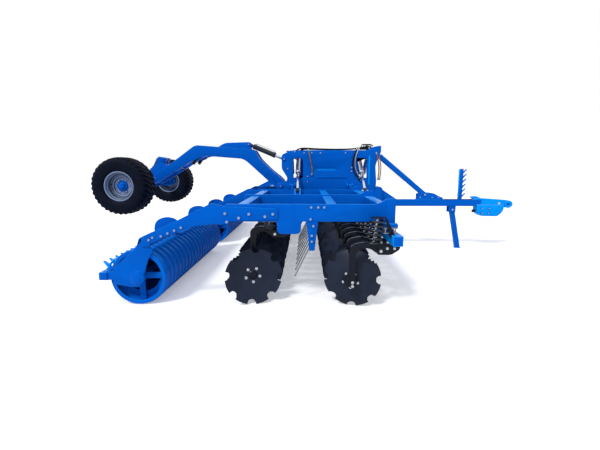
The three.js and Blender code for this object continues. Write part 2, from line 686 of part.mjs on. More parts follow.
function transportArm() {
  const pieces = [];
  for (const side of [-1, 1]) {
    const [yLow, yHigh] = onSide(side, armInnerY, armOuterY);
    const arm = plateXZ([
      [armPivot.x - 60, armPivot.z - 55, 50], [armPivot.x + 60, armPivot.z - 55, 50],
      [armPivot.x + 65, armPivot.z + 75, 60],
      [-665, 1273, 40], [-829, 1403, 30], [-1022, 1590, 60], [-1100, 1725, 60],
      [-1120, 1745], [-2120, 1819, 60], [-2480, 1560, 30], [-2960, axle.z + 75],
      [-3050, axle.z - 20], [-2990, axle.z - 75],
      [-2790, 1190, 20], [-2230, 1530, 40], [-1950, 1640, 60], [-1323, 1591, 80], [-1240, 1545, 40],
    ], yLow, yHigh, [], fineSteps);
    pieces.push(arm);
    // cheek plates of the lift cylinder's pin
    const [cheekA, cheekB] = onSide(side, 36, 56);
    pieces.push(plateXZ([
      [-1186, 1690], [-1186, 1880, 40], [-1646, 1867, 60], [-1776, 1790], [-1700, 1690],
    ], cheekA, cheekB));
  }
  // sleeve round the pivot pin, cross tubes and the axle beam
  const sleeve = rod([armPivot.x, -armOuterY, armPivot.z], [armPivot.x, armOuterY, armPivot.z], 52, 16);
  pieces.push(sleeve);
  pieces.push(box(-1700, -1600, -armInnerY - 1, armInnerY + 1, 1660, 1760));
  pieces.push(box(-1260, -1170, -armInnerY - 1, armInnerY + 1, 1640, 1720));
  pieces.push(box(-2500, -2420, -armInnerY - 1, armInnerY + 1, 1410, 1490));
  const half = axle.size / 2;
  const beamEnd = wheelY - tyreWidth / 2 - 60;
  pieces.push(box(axle.x - half, axle.x + half, -beamEnd, beamEnd, axle.z - half, axle.z + half));
  for (const side of [-1, 1]) {
    pieces.push(rod([axle.x, side * (beamEnd - 5), axle.z], [axle.x, side * (wheelY - 22), axle.z], 38, 12));
  }
  // lamp and plate carrier above the axle
  pieces.push(plateXZ([[-2900, 1300], [-2960, 1420], [-2740, 1530], [-2640, 1470], [-2600, 1420]],
    -armInnerY - 1, armInnerY + 1));
  const bore = rod([armPivot.x, -armOuterY - 5, armPivot.z], [armPivot.x, armOuterY + 5, armPivot.z], 30 + pinPlay, 16);
  return join(pieces).subtract(bore);
}

// Tyre, rim and hub of one wheel, its axle along y and its outer face towards +y.
function wheel() {
  const half = tyreWidth / 2;
  const profile = [
    [0, -20], [wheelHubR, -20], [wheelHubR, -8], [rimR - 40, -8], [rimR - 30, -half + 60], [rimR + 4, -half + 25],
    [tyreR - 70, -half], [tyreR, -half + 70], [tyreR, half - 70], [tyreR - 70, half], [rimR + 4, half - 25],
    [rimR - 30, half - 60], [rimR - 40, 40], [wheelHubR, 40], [wheelHubR - 15, 110], [0, 110],
  ].map(([r, y]) => new THREE.Vector2(r, y));
  return solidOf(new THREE.LatheGeometry(profile, 20));
}

// ---------------------------------------------------------------- cylinders

// A unit vector from one place to another.
const unit = (from, to) => new THREE.Vector3(...to).sub(new THREE.Vector3(...from)).normalize();
const along = (from, way, distance) => way.clone().multiplyScalar(distance).add(new THREE.Vector3(...from)).toArray();

// A barrel from its pivot eye, with a bore down the middle that its rod slides in.
function cylinderBarrel(pivot, way, eye, { neck, boreStart, length, barrelR, boreR }) {
  const body = rod(along(pivot, way, neck), along(pivot, way, length), barrelR, 14);
  const shank = rod(along(pivot, way, 10), along(pivot, way, neck + 5), boreR - 4, 10);
  const hole = rod(along(pivot, way, boreStart), along(pivot, way, length + 5), boreR, 12);
  return join(eye, shank, body).subtract(hole);
}

function foldCylinder(side) {
  const x = side < 0 ? foldCylinderX.right : foldCylinderX.left;
  const pivot = [x, -side * foldPivot.y, foldPivot.z];
  const eye = [x, side * foldEye.y, foldEye.z];
  const way = unit(pivot, eye);
  const half = foldEyeThick / 2;
  const eyeAt = ([, y, z]) => rod([x - half, y, z], [x + half, y, z], foldEyeR, 12);
  const barrel = cylinderBarrel(pivot, way, eyeAt(pivot), {
    neck: foldBarrelNeck,
    boreStart: foldBoreStart,
    length: foldBarrelLength,
    barrelR: foldBarrelR,
    boreR: foldRodR + boreGap,
  });
  const back = unit(eye, pivot);
  const stem = join(eyeAt(eye), rod(along(eye, back, 5), along(eye, back, foldRodLength), foldRodR, 12));
  return { barrel, rod: stem };
}

function liftCylinder() {
  const pivot = [liftArmPin.x, 0, liftArmPin.z];
  const eye = [liftTowerPin.x, 0, liftTowerPin.z];
  const way = unit(pivot, eye);
  const eyeAt = ([x, , z]) => rod([x, -28, z], [x, 28, z], 40, 12);
  const barrel = cylinderBarrel(pivot, way, eyeAt(pivot), {
    neck: liftBarrelNeck,
    boreStart: liftBoreStart,
    length: liftBarrelLength,
    barrelR: liftBarrelR,
    boreR: liftRodR + boreGap,
  });
  const back = unit(eye, pivot);
  const stem = join(eyeAt(eye), rod(along(eye, back, 5), along(eye, back, liftRodLength), liftRodR, 12));
  return { barrel, rod: stem };
}

// ---------------------------------------------------------------- the machine

add('centre_frame', centreFrame(), 'blue');
add('drawbar', drawbar(), 'blue');
add('parking_stand', parkingStand(), 'blue');
add('transport_arm', transportArm(), 'blue');

const wheelSolid = wheel();
for (const [name, side] of [['wheel_right', -1], ['wheel_left', 1]]) {
  const mesh = add(name, wheelSolid, 'tyre');
  mesh.position.set(axle.x, side * wheelY, axle.z);
  if (side < 0) mesh.rotation.z = Math.PI;
}

const lift = liftCylinder();
add('lift_cylinder_barrel', lift.barrel, 'black');
add('lift_cylinder_rod', lift.rod, 'steel');

for (const [name, side] of [['right', -1], ['left', 1]]) {
  const fold = foldCylinder(side);
  add(`fold_cylinder_${name}_barrel`, fold.barrel, 'steel');
  add(`fold_cylinder_${name}_rod`, fold.rod, 'steel');
  add(`wing_frame_${name}`, wingFrame(side), 'blue');
  add(`roller_frame_${name}`, rollerFrame(side), 'blue');
  add(`packer_roller_${name}`, packerRoller(side), 'blue');
  for (const row of ['front', 'rear']) {
    add(`disc_arms_${row}_${name}`, discArms(row, side), 'black');
    addDiscs(row, side);
  }
}

export default harrow;
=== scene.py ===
import json
import math

import bpy
from mathutils import Matrix, Vector


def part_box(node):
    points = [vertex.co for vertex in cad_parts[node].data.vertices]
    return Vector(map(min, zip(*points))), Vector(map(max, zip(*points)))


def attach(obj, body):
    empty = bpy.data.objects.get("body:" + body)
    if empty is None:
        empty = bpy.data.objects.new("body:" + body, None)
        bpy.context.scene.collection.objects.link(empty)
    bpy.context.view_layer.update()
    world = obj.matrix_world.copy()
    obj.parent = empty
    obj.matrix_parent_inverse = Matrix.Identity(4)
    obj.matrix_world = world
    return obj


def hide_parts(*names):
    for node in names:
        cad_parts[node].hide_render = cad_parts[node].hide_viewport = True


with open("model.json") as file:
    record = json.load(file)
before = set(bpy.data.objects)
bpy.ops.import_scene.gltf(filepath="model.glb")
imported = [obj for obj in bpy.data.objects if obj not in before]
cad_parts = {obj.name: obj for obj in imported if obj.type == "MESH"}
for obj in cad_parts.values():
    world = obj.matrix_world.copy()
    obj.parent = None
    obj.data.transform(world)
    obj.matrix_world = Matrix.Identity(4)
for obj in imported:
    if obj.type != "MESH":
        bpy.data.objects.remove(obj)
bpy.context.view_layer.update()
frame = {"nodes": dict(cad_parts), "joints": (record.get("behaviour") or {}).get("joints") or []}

mm = 0.001
joints = {joint["name"]: joint for joint in frame["joints"]}
jointPlace = {name: Vector(joint["pos_m"]) / mm for name, joint in joints.items() if "pos_m" in joint}
sides = {"right": -1, "left": 1}


def boxOf(node):
    low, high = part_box(node)
    return Vector(low) / mm, Vector(high) / mm


# ---- camera ----
cameraSetup = {
    "place": (-0.226, -6.643, 1.466),
    "lookDown": 9.06,      # degrees below level
    "lookBack": 0.91,      # degrees towards the rollers
    "lens": 22.2,          # mm on a 36 mm wide sensor
}
bpy.ops.object.select_all(action="DESELECT")
bpy.ops.object.camera_add(
    location=cameraSetup["place"],
    rotation=(math.radians(90 - cameraSetup["lookDown"]), 0, math.radians(cameraSetup["lookBack"])),
)
camera = bpy.context.object
camera.data.lens = cameraSetup["lens"]
bpy.context.scene.camera = camera


# ---- finishes ----
def toLinear(hexColour):
    parts = [int(hexColour[i:i + 2], 16) / 255 for i in (1, 3, 5)]
    return [p / 12.92 if p <= 0.04045 else ((p + 0.055) / 1.055) ** 2.4 for p in parts] + [1]


# adds a node; settings name its inputs or its own options, links name inputs and the sockets that feed them
def addNode(tree, kind, settings=None, links=None):
    new = tree.nodes.new(kind)
    for name, value in (settings or {}).items():
        if isinstance(name, int) or name in new.inputs:
            new.inputs[name].default_value = value
        else:
            setattr(new, name, value)
    for name, socket in (links or {}).items():
        tree.links.new(socket, new.inputs[name])
    return new


def newMaterial(name):
    material = bpy.data.materials.new(name)
    material.use_nodes = True
    tree = material.node_tree
    tree.nodes.clear()
    return material, tree, addNode(tree, "ShaderNodeTexCoord").outputs["Object"]


def finishMaterial(tree, settings, links):
    shader = addNode(tree, "ShaderNodeBsdfPrincipled", settings, links)
    addNode(tree, "ShaderNodeOutputMaterial", {}, {"Surface": shader.outputs["BSDF"]})


# noise with blotches of the given size in millimetres
def noise(tree, place, size, detail, roughness=0.5):
    settings = {"Scale": 1 / (size * mm), "Detail": detail, "Roughness": roughness}
    return addNode(tree, "ShaderNodeTexNoise", settings, {"Vector": place}).outputs["Fac"]


def blend(tree, first, second, share):
    settings = {"data_type": "RGBA", 6: toLinear(first), 7: toLinear(second)}
    return addNode(tree, "ShaderNodeMix", settings, {0: share}).outputs[2]


def spread(tree, low, high, value):
    return addNode(tree, "ShaderNodeMapRange", {"To Min": low, "To Max": high},
                   {"Value": value}).outputs["Result"]


def bump(tree, strength, depth, height):
    settings = {"Strength": strength, "Distance": depth * mm}
    return addNode(tree, "ShaderNodeBump", settings, {"Height": height}).outputs["Normal"]


# Polyester powder coat on steel: sprayed dry and baked, so it has a faint orange peel, which blurs
# what it mirrors. What faces up takes a lighter cyan in blotches, partly field dust and partly a
# painted highlight where the light falls on the tops. Its faint shine is tinted blue, so that the
# sides stay as deep as the faces.
def powderCoat(name, colour, shade, dustAndSheen, roughness):
    material, tree, place = newMaterial(name)
    cloud = noise(tree, place, 260, 4.0, 0.6)
    # what faces up takes the lighter colour in blotches: dust, and a painted highlight on the tops
    normal = addNode(tree, "ShaderNodeNewGeometry").outputs["Normal"]
    up = addNode(tree, "ShaderNodeSeparateXYZ", {}, {"Vector": normal}).outputs["Z"]
    facingUp = addNode(tree, "ShaderNodeMapRange", {"From Min": 0.5}, {"Value": up}).outputs["Result"]
    dustAndSheenMask = addNode(tree, "ShaderNodeMath", {"operation": "MULTIPLY"},
                    {0: facingUp, 1: noise(tree, place, 35, 5.0)})
    coat = addNode(tree, "ShaderNodeMix", {"data_type": "RGBA", 7: toLinear(dustAndSheen)},
                   {0: dustAndSheenMask.outputs["Value"], 6: blend(tree, shade, colour, cloud)})
    finishMaterial(tree, {"IOR": 1.5, "Coat Weight": 0.02, "Coat Roughness": 0.1, "Specular IOR Level": 0.08,
                          "Specular Tint": toLinear("#6FC0FF")},
                   {"Base Color": coat.outputs[2],
                    "Roughness": spread(tree, roughness - 0.05, roughness + 0.08, cloud),
                    "Normal": bump(tree, 0.12, 0.6, noise(tree, place, 9, 2.0))})
    return material


# Wet-sprayed paint on forged and welded parts: semi-gloss, over a surface that the hammer scale left uneven.
def sprayPaint(name, colour, shade, roughness, grain, depth, gloss=0.3):
    material, tree, place = newMaterial(name)
    scale = noise(tree, place, grain, 4.0, 0.55)
    finishMaterial(tree, {"IOR": 1.5, "Specular IOR Level": gloss},
                   {"Base Color": blend(tree, shade, colour, noise(tree, place, 120, 3.0)),
                    "Roughness": spread(tree, roughness - 0.07, roughness + 0.1, scale),
                    "Normal": bump(tree, 0.35, depth, scale)})
    return material


# Plated or ground steel: a metal whose grain can run one way, so highlights stretch across it.
def brightMetal(name, colour, shade, roughness, grain, stretch=(1, 1, 1)):
    material, tree, place = newMaterial(name)
    drawn = addNode(tree, "ShaderNodeMapping", {"Scale": stretch}, {"Vector": place}).outputs["Vector"]
    lines = noise(tree, drawn, grain, 3.0)
    finishMaterial(tree, {"Metallic": 1.0},
                   {"Base Color": blend(tree, shade, colour, lines),
                    "Roughness": spread(tree, max(roughness - 0.06, 0.04), roughness + 0.1, lines),
                    "Normal": bump(tree, 0.08, 0.2, lines)})
    return material


# Moulded rubber and plastic: matt, with a fine grain from the mould and dust in its hollows.
def moulded(name, colour, shade, roughness, grain, depth):
    material, tree, place = newMaterial(name)
    cloud = addNode(tree, "ShaderNodeMapRange", {"From Min": 0.35, "From Max": 0.75},
                    {"Value": noise(tree, place, 90, 4.0)}).outputs["Result"]
    finishMaterial(tree, {"IOR": 1.52, "Roughness": roughness, "Specular IOR Level": 0.07},
                   {"Base Color": blend(tree, shade, colour, cloud),
                    "Normal": bump(tree, 0.3, depth, noise(tree, place, grain, 5.0))})
    return material


# the frames' coat, and a lighter copy of it laid on parts where the light catches, a painted highlight
azurePowderCoat = powderCoat("azurePowderCoat", "#005FC6", "#0053B6", "#1FA6FF", 0.28)
paintedHighlightCoat = powderCoat("paintedHighlightCoat", "#009BF8", "#0088E6", "#A9CFF0", 0.28)
# the same coat on the rollers, rougher where soil dulls it, and painted lighter against the shade on their
# drums
rollerPowderCoat = powderCoat("rollerPowderCoat", "#0467D0", "#005BC1", "#1FA6FF", 0.55)
# glossy black over rough forgings
armBlackPaint = sprayPaint("armBlackPaint", "#0A1120", "#060A14", 0.24, 30, 0.15, 0.2)
# thin blue-black lacquer, duller and bluer than the arms
discLacquer = sprayPaint("discLacquer", "#222B3E", "#151C2A", 0.36, 22, 0.3, 0.15)
# plain grey-black of the lift cylinder's barrel and the rods' eyes
barrelBlackPaint = sprayPaint("barrelBlackPaint", "#28303F", "#171C27", 0.3, 16, 0.2)
# soft silver lacquer on the rims, and a darker copy of it painted into their wells as painted shade
rimSilverPaint = sprayPaint("rimSilverPaint", "#8496B3", "#6C7E9B", 0.34, 12, 0.2)
paintedRimShade = sprayPaint("paintedRimShade", "#3B4860", "#2B3548", 0.4, 12, 0.2)
# dark hardened wire with a sharp glint
springSteel = brightMetal("springSteel", "#4A4F58", "#2C3037", 0.18, 10)
# polished hard chrome, the brightest thing on the machine
chromedRod = brightMetal("chromedRod", "#E4E8EE", "#CDD3DC", 0.1, 4, (1, 1, 8))
# clean zinc with fine lines across its light
zincPlatedSteel = brightMetal("zincPlatedSteel", "#D6DADF", "#AEB4BC", 0.3, 6, (1, 1, 3))
# light grey steel laid on the arms' upward faces as a painted highlight
paintedHighlightArmSteel = brightMetal("paintedHighlightArmSteel", "#8A9099", "#4A4F57", 0.3, 20)
# hot-dipped zinc, grey and nearly matt
galvanisedSteel = brightMetal("galvanisedSteel", "#A9B1B8", "#7F888F", 0.42, 12)
# zinc with a bluish passivate, duller than the plain zinc
passivatedBolts = brightMetal("passivatedBolts", "#A3B6D2", "#7E95B8", 0.4, 5)
# blue-black and matt, so that the tread shows only by its shadows
tyreRubber = moulded("tyreRubber", "#050E24", "#030814", 0.6, 5, 0.5)
hoseRubber = moulded("hoseRubber", "#1B1D22", "#0E0F12", 0.5, 3, 0.2)
# woven sleeve over the hoses, matt and straw-coloured
hoseSleeve = moulded("hoseSleeve", "#A07B45", "#6F5530", 0.7, 4, 0.4)
# deep glossy red
redLensPlastic = moulded("redLensPlastic", "#B01218", "#8C0C12", 0.18, 6, 0.1)
print("finishes made")


# ---- hand tools ----
def clearSelection():
    if bpy.context.object and bpy.context.object.mode != "OBJECT":
        bpy.ops.object.mode_set(mode="OBJECT")
    bpy.ops.object.select_all(action="DESELECT")


def pick(*objects):
    clearSelection()
    for each in objects:
        each.select_set(True)
    bpy.context.view_layer.objects.active = objects[0]


# puts a piece's place, turn and scale into its mesh
def settle(piece):
    pick(piece)
    bpy.ops.object.transform_apply(location=True, rotation=True, scale=True)
    return piece


def soften(piece, width, segments=2, angle=38):
    pick(piece)
    if width:
        bevel = piece.modifiers.new("softEdge", "BEVEL")
        bevel.width = width
        bevel.segments = segments
        bevel.limit_method = "ANGLE"
        bevel.angle_limit = math.radians(angle)
        bevel.use_clamp_overlap = False
        bpy.ops.object.modifier_apply(modifier=bevel.name)
    bpy.ops.object.shade_smooth_by_angle(angle=math.radians(angle))
    return piece


def copyOf(piece, shift=(0, 0, 0)):
    twin = piece.copy()
    twin.data = piece.data.copy()
    bpy.context.scene.collection.objects.link(twin)
    twin.data.transform(Matrix.Translation(Vector(shift)))
    return twin


def dress(piece, material):
    piece.data.materials.clear()
    piece.data.materials.append(material)
    return piece


def joinUp(parts):
    pick(*parts)
    if len(parts) > 1:
        bpy.ops.object.join()
    return bpy.context.object


def paintWhere(piece, material, test):
    piece.data.materials.append(material)
    slotNumber = len(piece.data.materials) - 1
    for face in piece.data.polygons:
        if test(face.center):
            face.material_index = slotNumber


# joins the parts of a piece, brings it from millimetres to metres and hands it to its body
def place(parts, name, body, slotName=None, instead=()):
    piece = joinUp(parts)
    piece.name = name
    piece.data.transform(Matrix.Scale(mm, 4))
    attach(piece, body)
    if instead:
        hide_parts(*instead)


def block(low, high, material, edge=3):
    low, high = Vector(low), Vector(high)
    clearSelection()
    bpy.ops.mesh.primitive_cube_add(size=1, location=(low + high) / 2)
    bpy.context.object.scale = high - low
    return dress(soften(settle(bpy.context.object), edge), material)


def bar(start, end, radius, material, faces=16, edge=1.5):
    start, end = Vector(start), Vector(end)
    way = end - start
    clearSelection()
    bpy.ops.mesh.primitive_cylinder_add(vertices=faces, radius=radius, depth=way.length)
    rod = lay(bpy.context.object, way.to_track_quat("Z", "Y"), (start + end) / 2)
    return dress(soften(rod, edge), material)


# corner points as (across, up) or (across, up, radius); a radius rounds the corner
def rounded(points, steps=6):
    made = []
    for i, point in enumerate(points):
        corner = Vector(point[:2])
        radius = point[2] if len(point) > 2 else 0
        if not radius:
            made.append(corner)
            continue
        toBefore = Vector(points[i - 1][:2]) - corner
        toAfter = Vector(points[(i + 1) % len(points)][:2]) - corner
        cut = min(radius, toBefore.length * 0.49, toAfter.length * 0.49)
        start = corner + toBefore.normalized() * cut
        end = corner + toAfter.normalized() * cut
        for step in range(steps + 1):
            t = step / steps
            made.append(start * (1 - t) ** 2 + corner * 2 * t * (1 - t) + end * t * t)
    return made


def fromAxle(spot):
    return math.hypot(spot.x, spot.z)


# ends the work on a mesh: everything faces outwards
def closeMesh():
    bpy.ops.mesh.select_all(action="SELECT")
    bpy.ops.mesh.normals_make_consistent(inside=False)
    bpy.ops.object.mode_set(mode="OBJECT")


# a ring of corners at the given places, left in edit mode with all of it selected
def ringOf(spots, fill):
    clearSelection()
    bpy.ops.mesh.primitive_circle_add(vertices=len(spots), fill_type=fill)
    piece = bpy.context.object
    for vertex, spot in zip(piece.data.vertices, spots):
        vertex.co = spot
    bpy.ops.object.mode_set(mode="EDIT")
    bpy.ops.mesh.select_all(action="SELECT")
    return piece


# turns a piece made along Z or Y and moves it to its place
def lay(piece, turn, spot):
    piece.rotation_mode = "QUATERNION"
    piece.rotation_quaternion = turn
    piece.location = spot
    return settle(piece)


# a flat plate with the given outline, from low to high across its plane
def plate(points, low, high, material, plane="XZ", edge=2, steps=6):
    deep = high - low
    spots = [(a, low, b) if plane == "XZ" else (low, a, b) for a, b in rounded(points, steps)]
    push = (0, deep, 0) if plane == "XZ" else (deep, 0, 0)
    piece = ringOf(spots, "NGON")
    bpy.ops.mesh.extrude_region_move(TRANSFORM_OT_translate={"value": push})
    closeMesh()
    return dress(soften(piece, edge), material)


# spins a closed profile of (radius, along) points round the Y axis, then lays it along an axis at a place
def turned(profile, material, centre=(0, 0, 0), axis=(0, 1, 0), steps=32, edge=0, angle=38):
    piece = ringOf([(radius, along, 0) for radius, along in profile], "NOTHING")
    bpy.ops.mesh.spin(steps=steps, angle=2 * math.pi, center=(0, 0, 0), axis=(0, 1, 0))
    bpy.ops.mesh.select_all(action="SELECT")
    bpy.ops.mesh.remove_doubles(threshold=0.01)
    bpy.ops.mesh.delete_loose(use_verts=True, use_edges=True, use_faces=False)
    closeMesh()
    piece = lay(piece, Vector((0, 1, 0)).rotation_difference(Vector(axis)), centre)
    return dress(soften(piece, edge, angle=angle), material)


# a coil of round wire between two places on its centre line
def coil(foot, top, radius, wire, turns, material, around=8, perTurn=16):
    foot, top = Vector(foot), Vector(top)
    way = top - foot
    clearSelection()
    bpy.ops.mesh.primitive_circle_add(vertices=around, radius=wire, location=(radius - wire, 0, 0),
                                      rotation=(math.pi / 2, 0, 0))
    spring = settle(bpy.context.object)
    screw = spring.modifiers.new("turns", "SCREW")
    screw.axis = "Z"
    screw.iterations = turns
    screw.screw_offset = (way.length - 2 * wire) / turns
    screw.steps = screw.render_steps = perTurn
    bpy.ops.object.modifier_apply(modifier=screw.name)
    bpy.ops.object.mode_set(mode="EDIT")
    bpy.ops.mesh.select_all(action="SELECT")
    bpy.ops.mesh.remove_doubles(threshold=0.01)
    bpy.ops.mesh.fill_holes(sides=0)
    closeMesh()
    spring = lay(spring, way.to_track_quat("Z", "Y"), foot + way.normalized() * wire)
    return dress(soften(spring, 0, angle=60), material)


# a round hose along a smooth curve; it takes five points or more
def hose(points, radius, material):
    clearSelection()
    bpy.ops.curve.primitive_nurbs_path_add()
    line = bpy.context.object
    path = line.data.splines[0]
    path.points.add(len(points) - len(path.points))
    for point, spot in zip(path.points, points):
        point.co = (*spot, 1)
    path.order_u = 4
    path.use_endpoint_u = True
    line.data.bevel_depth = radius
    line.data.bevel_resolution = 2
    line.data.resolution_u = 6
    line.data.use_fill_caps = True
    pick(line)
    bpy.ops.object.convert(target="MESH")
    return dress(soften(settle(bpy.context.object), 0, angle=60), material)


boltHeads = {}


# hexagon heads on washers at the given places, standing out along axis
def bolts(places, axis, across=24, material=None):
    material = material or passivatedBolts
    if (across, material.name) not in boltHeads:
        prisms = []
        for corners, radius, depth, up, edge in ((6, 0.577, 0.45, 0.33, 0.05), (14, 0.85, 0.14, 0.05, 0.03)):
            clearSelection()
            bpy.ops.mesh.primitive_cylinder_add(vertices=corners, radius=across * radius,
                                                depth=across * depth, location=(0, 0, across * up))
            prisms.append(soften(settle(bpy.context.object), across * edge, segments=1))
        head, washer = prisms
        # washers on painted parts are under the coat, the heads are not
        dress(washer, azurePowderCoat if material == passivatedBolts else material)
        boltHeads[across, material.name] = joinUp([dress(head, material), washer])
    turn = Vector((0, 0, 1)).rotation_difference(Vector(axis)).to_matrix().to_4x4()
    heads = []
    for spot in places:
        head = copyOf(boltHeads[across, material.name])
        head.data.transform(Matrix.Translation(Vector(spot)) @ turn)
        heads.append(head)
    return heads


# bolts at (x, z) places on a face that looks to one side
def sideBolts(spots, face, side, across, material=None):
    return bolts([(x, face, z) for x, z in spots], (0, side, 0), across, material)


# a plate with the given outline in XZ, between two distances out to one side
def sidePlate(points, side, near, far, material, edge=2):
    low, high = sorted((side * near, side * far))
    return plate(points, low, high, material, edge=edge)


# a copy of a CAD node's mesh with its corners joined and its edges softened
def fromCad(node, edge, material, windows=()):
    cad = frame["nodes"][node]
    piece = cad.copy()
    piece.data = cad.data.copy()
    bpy.context.scene.collection.objects.link(piece)
    piece.parent = None
    piece.matrix_world = Matrix.Identity(4)
    for key in list(piece.keys()):
        del piece[key]
    pick(piece)
    bpy.ops.object.mode_set(mode="EDIT")
    bpy.ops.mesh.select_all(action="SELECT")
    bpy.ops.mesh.remove_doubles(threshold=0.05 * mm)
    bpy.ops.mesh.dissolve_limited(angle_limit=math.radians(1))
    bpy.ops.object.mode_set(mode="OBJECT")
    piece.data.transform(Matrix.Scale(1 / mm, 4))
    for low, high in windows:
        cutter = block(low, high, material, 0)
        pick(piece)
        cut = piece.modifiers.new("window", "BOOLEAN")
        cut.operation = "DIFFERENCE"
        cut.object = cutter
        bpy.ops.object.modifier_apply(modifier=cut.name)
        bpy.data.objects.remove(cutter)
    dress(piece, material)
    return soften(piece, edge)


# ---- discs ----
discSetup = {
    "radius": 305,
    "dish": 72,           # rim to centre
    "flat": 92,           # radius of the flat middle
    "thick": 7,
    "notches": 8,
    "notchDepth": 50,
    "notchReach": 9,      # degrees each side of a notch's middle
    "boltCircle": 78,
    "bolts": 5,
    "hub": 48,
    "hubLength": 84,
    "armOffset": 128,     # arm's middle from the disc, on the dish's back
    "rings": [130, 170, 210, 240, 262, 285],
    "notchRing": 240,     # the notches stay outside this ring
    # spokes of one eighth of the disc, in degrees from its notch's middle
    "spokes": [-9, -8, -6, -3, 0, 3, 6, 8, 9, 15, 22.5, 30],
    "rollStep": 11,       # degrees from one disc to the next, so that their notches don't line up
}


# one notched disc with its hub, its axle along Y and its mouth towards +Y
def makeDisc():
    s = discSetup
    radius, flat = s["radius"], s["flat"]
    crown = lambda r: s["dish"] * max(0, (r - flat) / (radius - flat)) ** 1.25 if r > flat else 0
    rings = [0, flat * 0.55, flat] + s["rings"]
    front = [(r, crown(r)) for r in rings]
    back = [(r, crown(r) - s["thick"]) for r in reversed(rings)]
    rim = [(radius, s["dish"] - 0.5)]
    perNotch = len(s["spokes"])
    spokeStep = 360 / (s["notches"] * perNotch)
    dish = turned(front + rim + back, discLacquer, steps=s["notches"] * perNotch, angle=30)
    # the spokes of each eighth are gathered round its notch, and the rim is drawn in there
    inner = s["notchRing"]
    for vertex in dish.data.vertices:
        across = fromAxle(vertex.co)
        if across < inner - 1:
            continue
        count = round(math.degrees(math.atan2(vertex.co.z, vertex.co.x)) / spokeStep)
        notch, spoke = divmod(count, perNotch)
        away = s["spokes"][spoke]
        drawn = 0
        if abs(away) < s["notchReach"]:
            drawn = s["notchDepth"] * (1 - abs(away / s["notchReach"]) ** 3) ** (1 / 3)
        share = (across - inner) / (radius - inner)
        across = inner + share * (radius - drawn - inner)
        if share < 0.01:
            continue
        # spokes spread evenly at the inner ring and meet the notch's walls at the rim
        even = count * spokeStep
        turn = math.radians(even + (notch * 360 / s["notches"] + away - even) * min(1, share * 1.6))
        lift = vertex.co.y - crown(fromAxle(vertex.co))
        vertex.co = (math.cos(turn) * across, crown(across) + lift, math.sin(turn) * across)
    soften(dish, 0, angle=32)
    hub = s["hub"]
    back = -s["thick"]
    end = back - s["hubLength"]
    flange = turned([(0, 0), (86, 0), (88, -3), (88, -13), (66, -17), (0, -17)],
                    armBlackPaint, centre=(0, back, 0), steps=24, edge=1)
    housing = turned([(0, back - 10), (hub, back - 16), (hub, back - 34), (hub * 0.9, back - 38),
                      (hub * 0.9, back - 60), (hub * 0.97, back - 64), (hub * 0.97, end), (0, end)],
                     armBlackPaint, steps=20, edge=1)
    cap = turned([(0, 17), (30, 14), (44, 6), (50, 0), (0, 0)], armBlackPaint, steps=20)
    ring = [(math.cos(a) * s["boltCircle"], math.sin(a) * s["boltCircle"])
            for a in [math.radians(54 + 72 * i) for i in range(s["bolts"])]]
    heads = sideBolts(ring, 0, 1, 19, zincPlatedSteel)
    nuts = sideBolts(ring, back - 13, -1, 18, zincPlatedSteel)
    return joinUp([dish, flange, housing, cap] + heads + nuts)


discShape = makeDisc()
discNames = [name[:-len("_spin")] for name in joints if name.startswith("disc_")]
for count, disc in enumerate(discNames):
    made = copyOf(discShape)
    axis = Vector(joints[disc + "_spin"]["axis"]).normalized()
    # the dish opens to the left in the front row and to the right in the rear row
    mouth = axis if (axis.y > 0) == ("front" in disc) else -axis
    turn = Matrix.Rotation(math.atan2(-mouth.x, mouth.y), 4, "Z")
    roll = Matrix.Rotation(math.radians(discSetup["rollStep"] * count), 4, "Y")
    made.data.transform(Matrix.Translation(jointPlace[disc + "_spin"]) @ turn @ roll)
    place([made], disc + "_blade", disc, "disc_steel", [disc])
bpy.data.objects.remove(discShape)
print("discs made:", len(discNames))


# ---- disc arms and their beams ----
armSetup = {
    "front": {"beam": (669, 743), "springTop": 975, "turns": 6, "behind": -1},
    "rear": {"beam": (-400, 835), "springTop": 875, "turns": 4, "behind": 1},
    "beamHalf": 50,
    "pivot": (-161, -99),     # from the beam's middle
    "springFoot": (-234, -70),
    "springLean": 45,
    "springRadius": 76,
    "springSide": 40,     # the springs stand a little left of their arms
    "wire": 11,
    "thick": 34,
    "pitch": 300,
    "discLean": 16,       # degrees that a disc's axle is turned from square
    "hubBehind": 92.5,    # from the disc to the end of its hub
    "postAt": (450, 1640, 2900),    # where the wing's plates stand, out from the middle
}


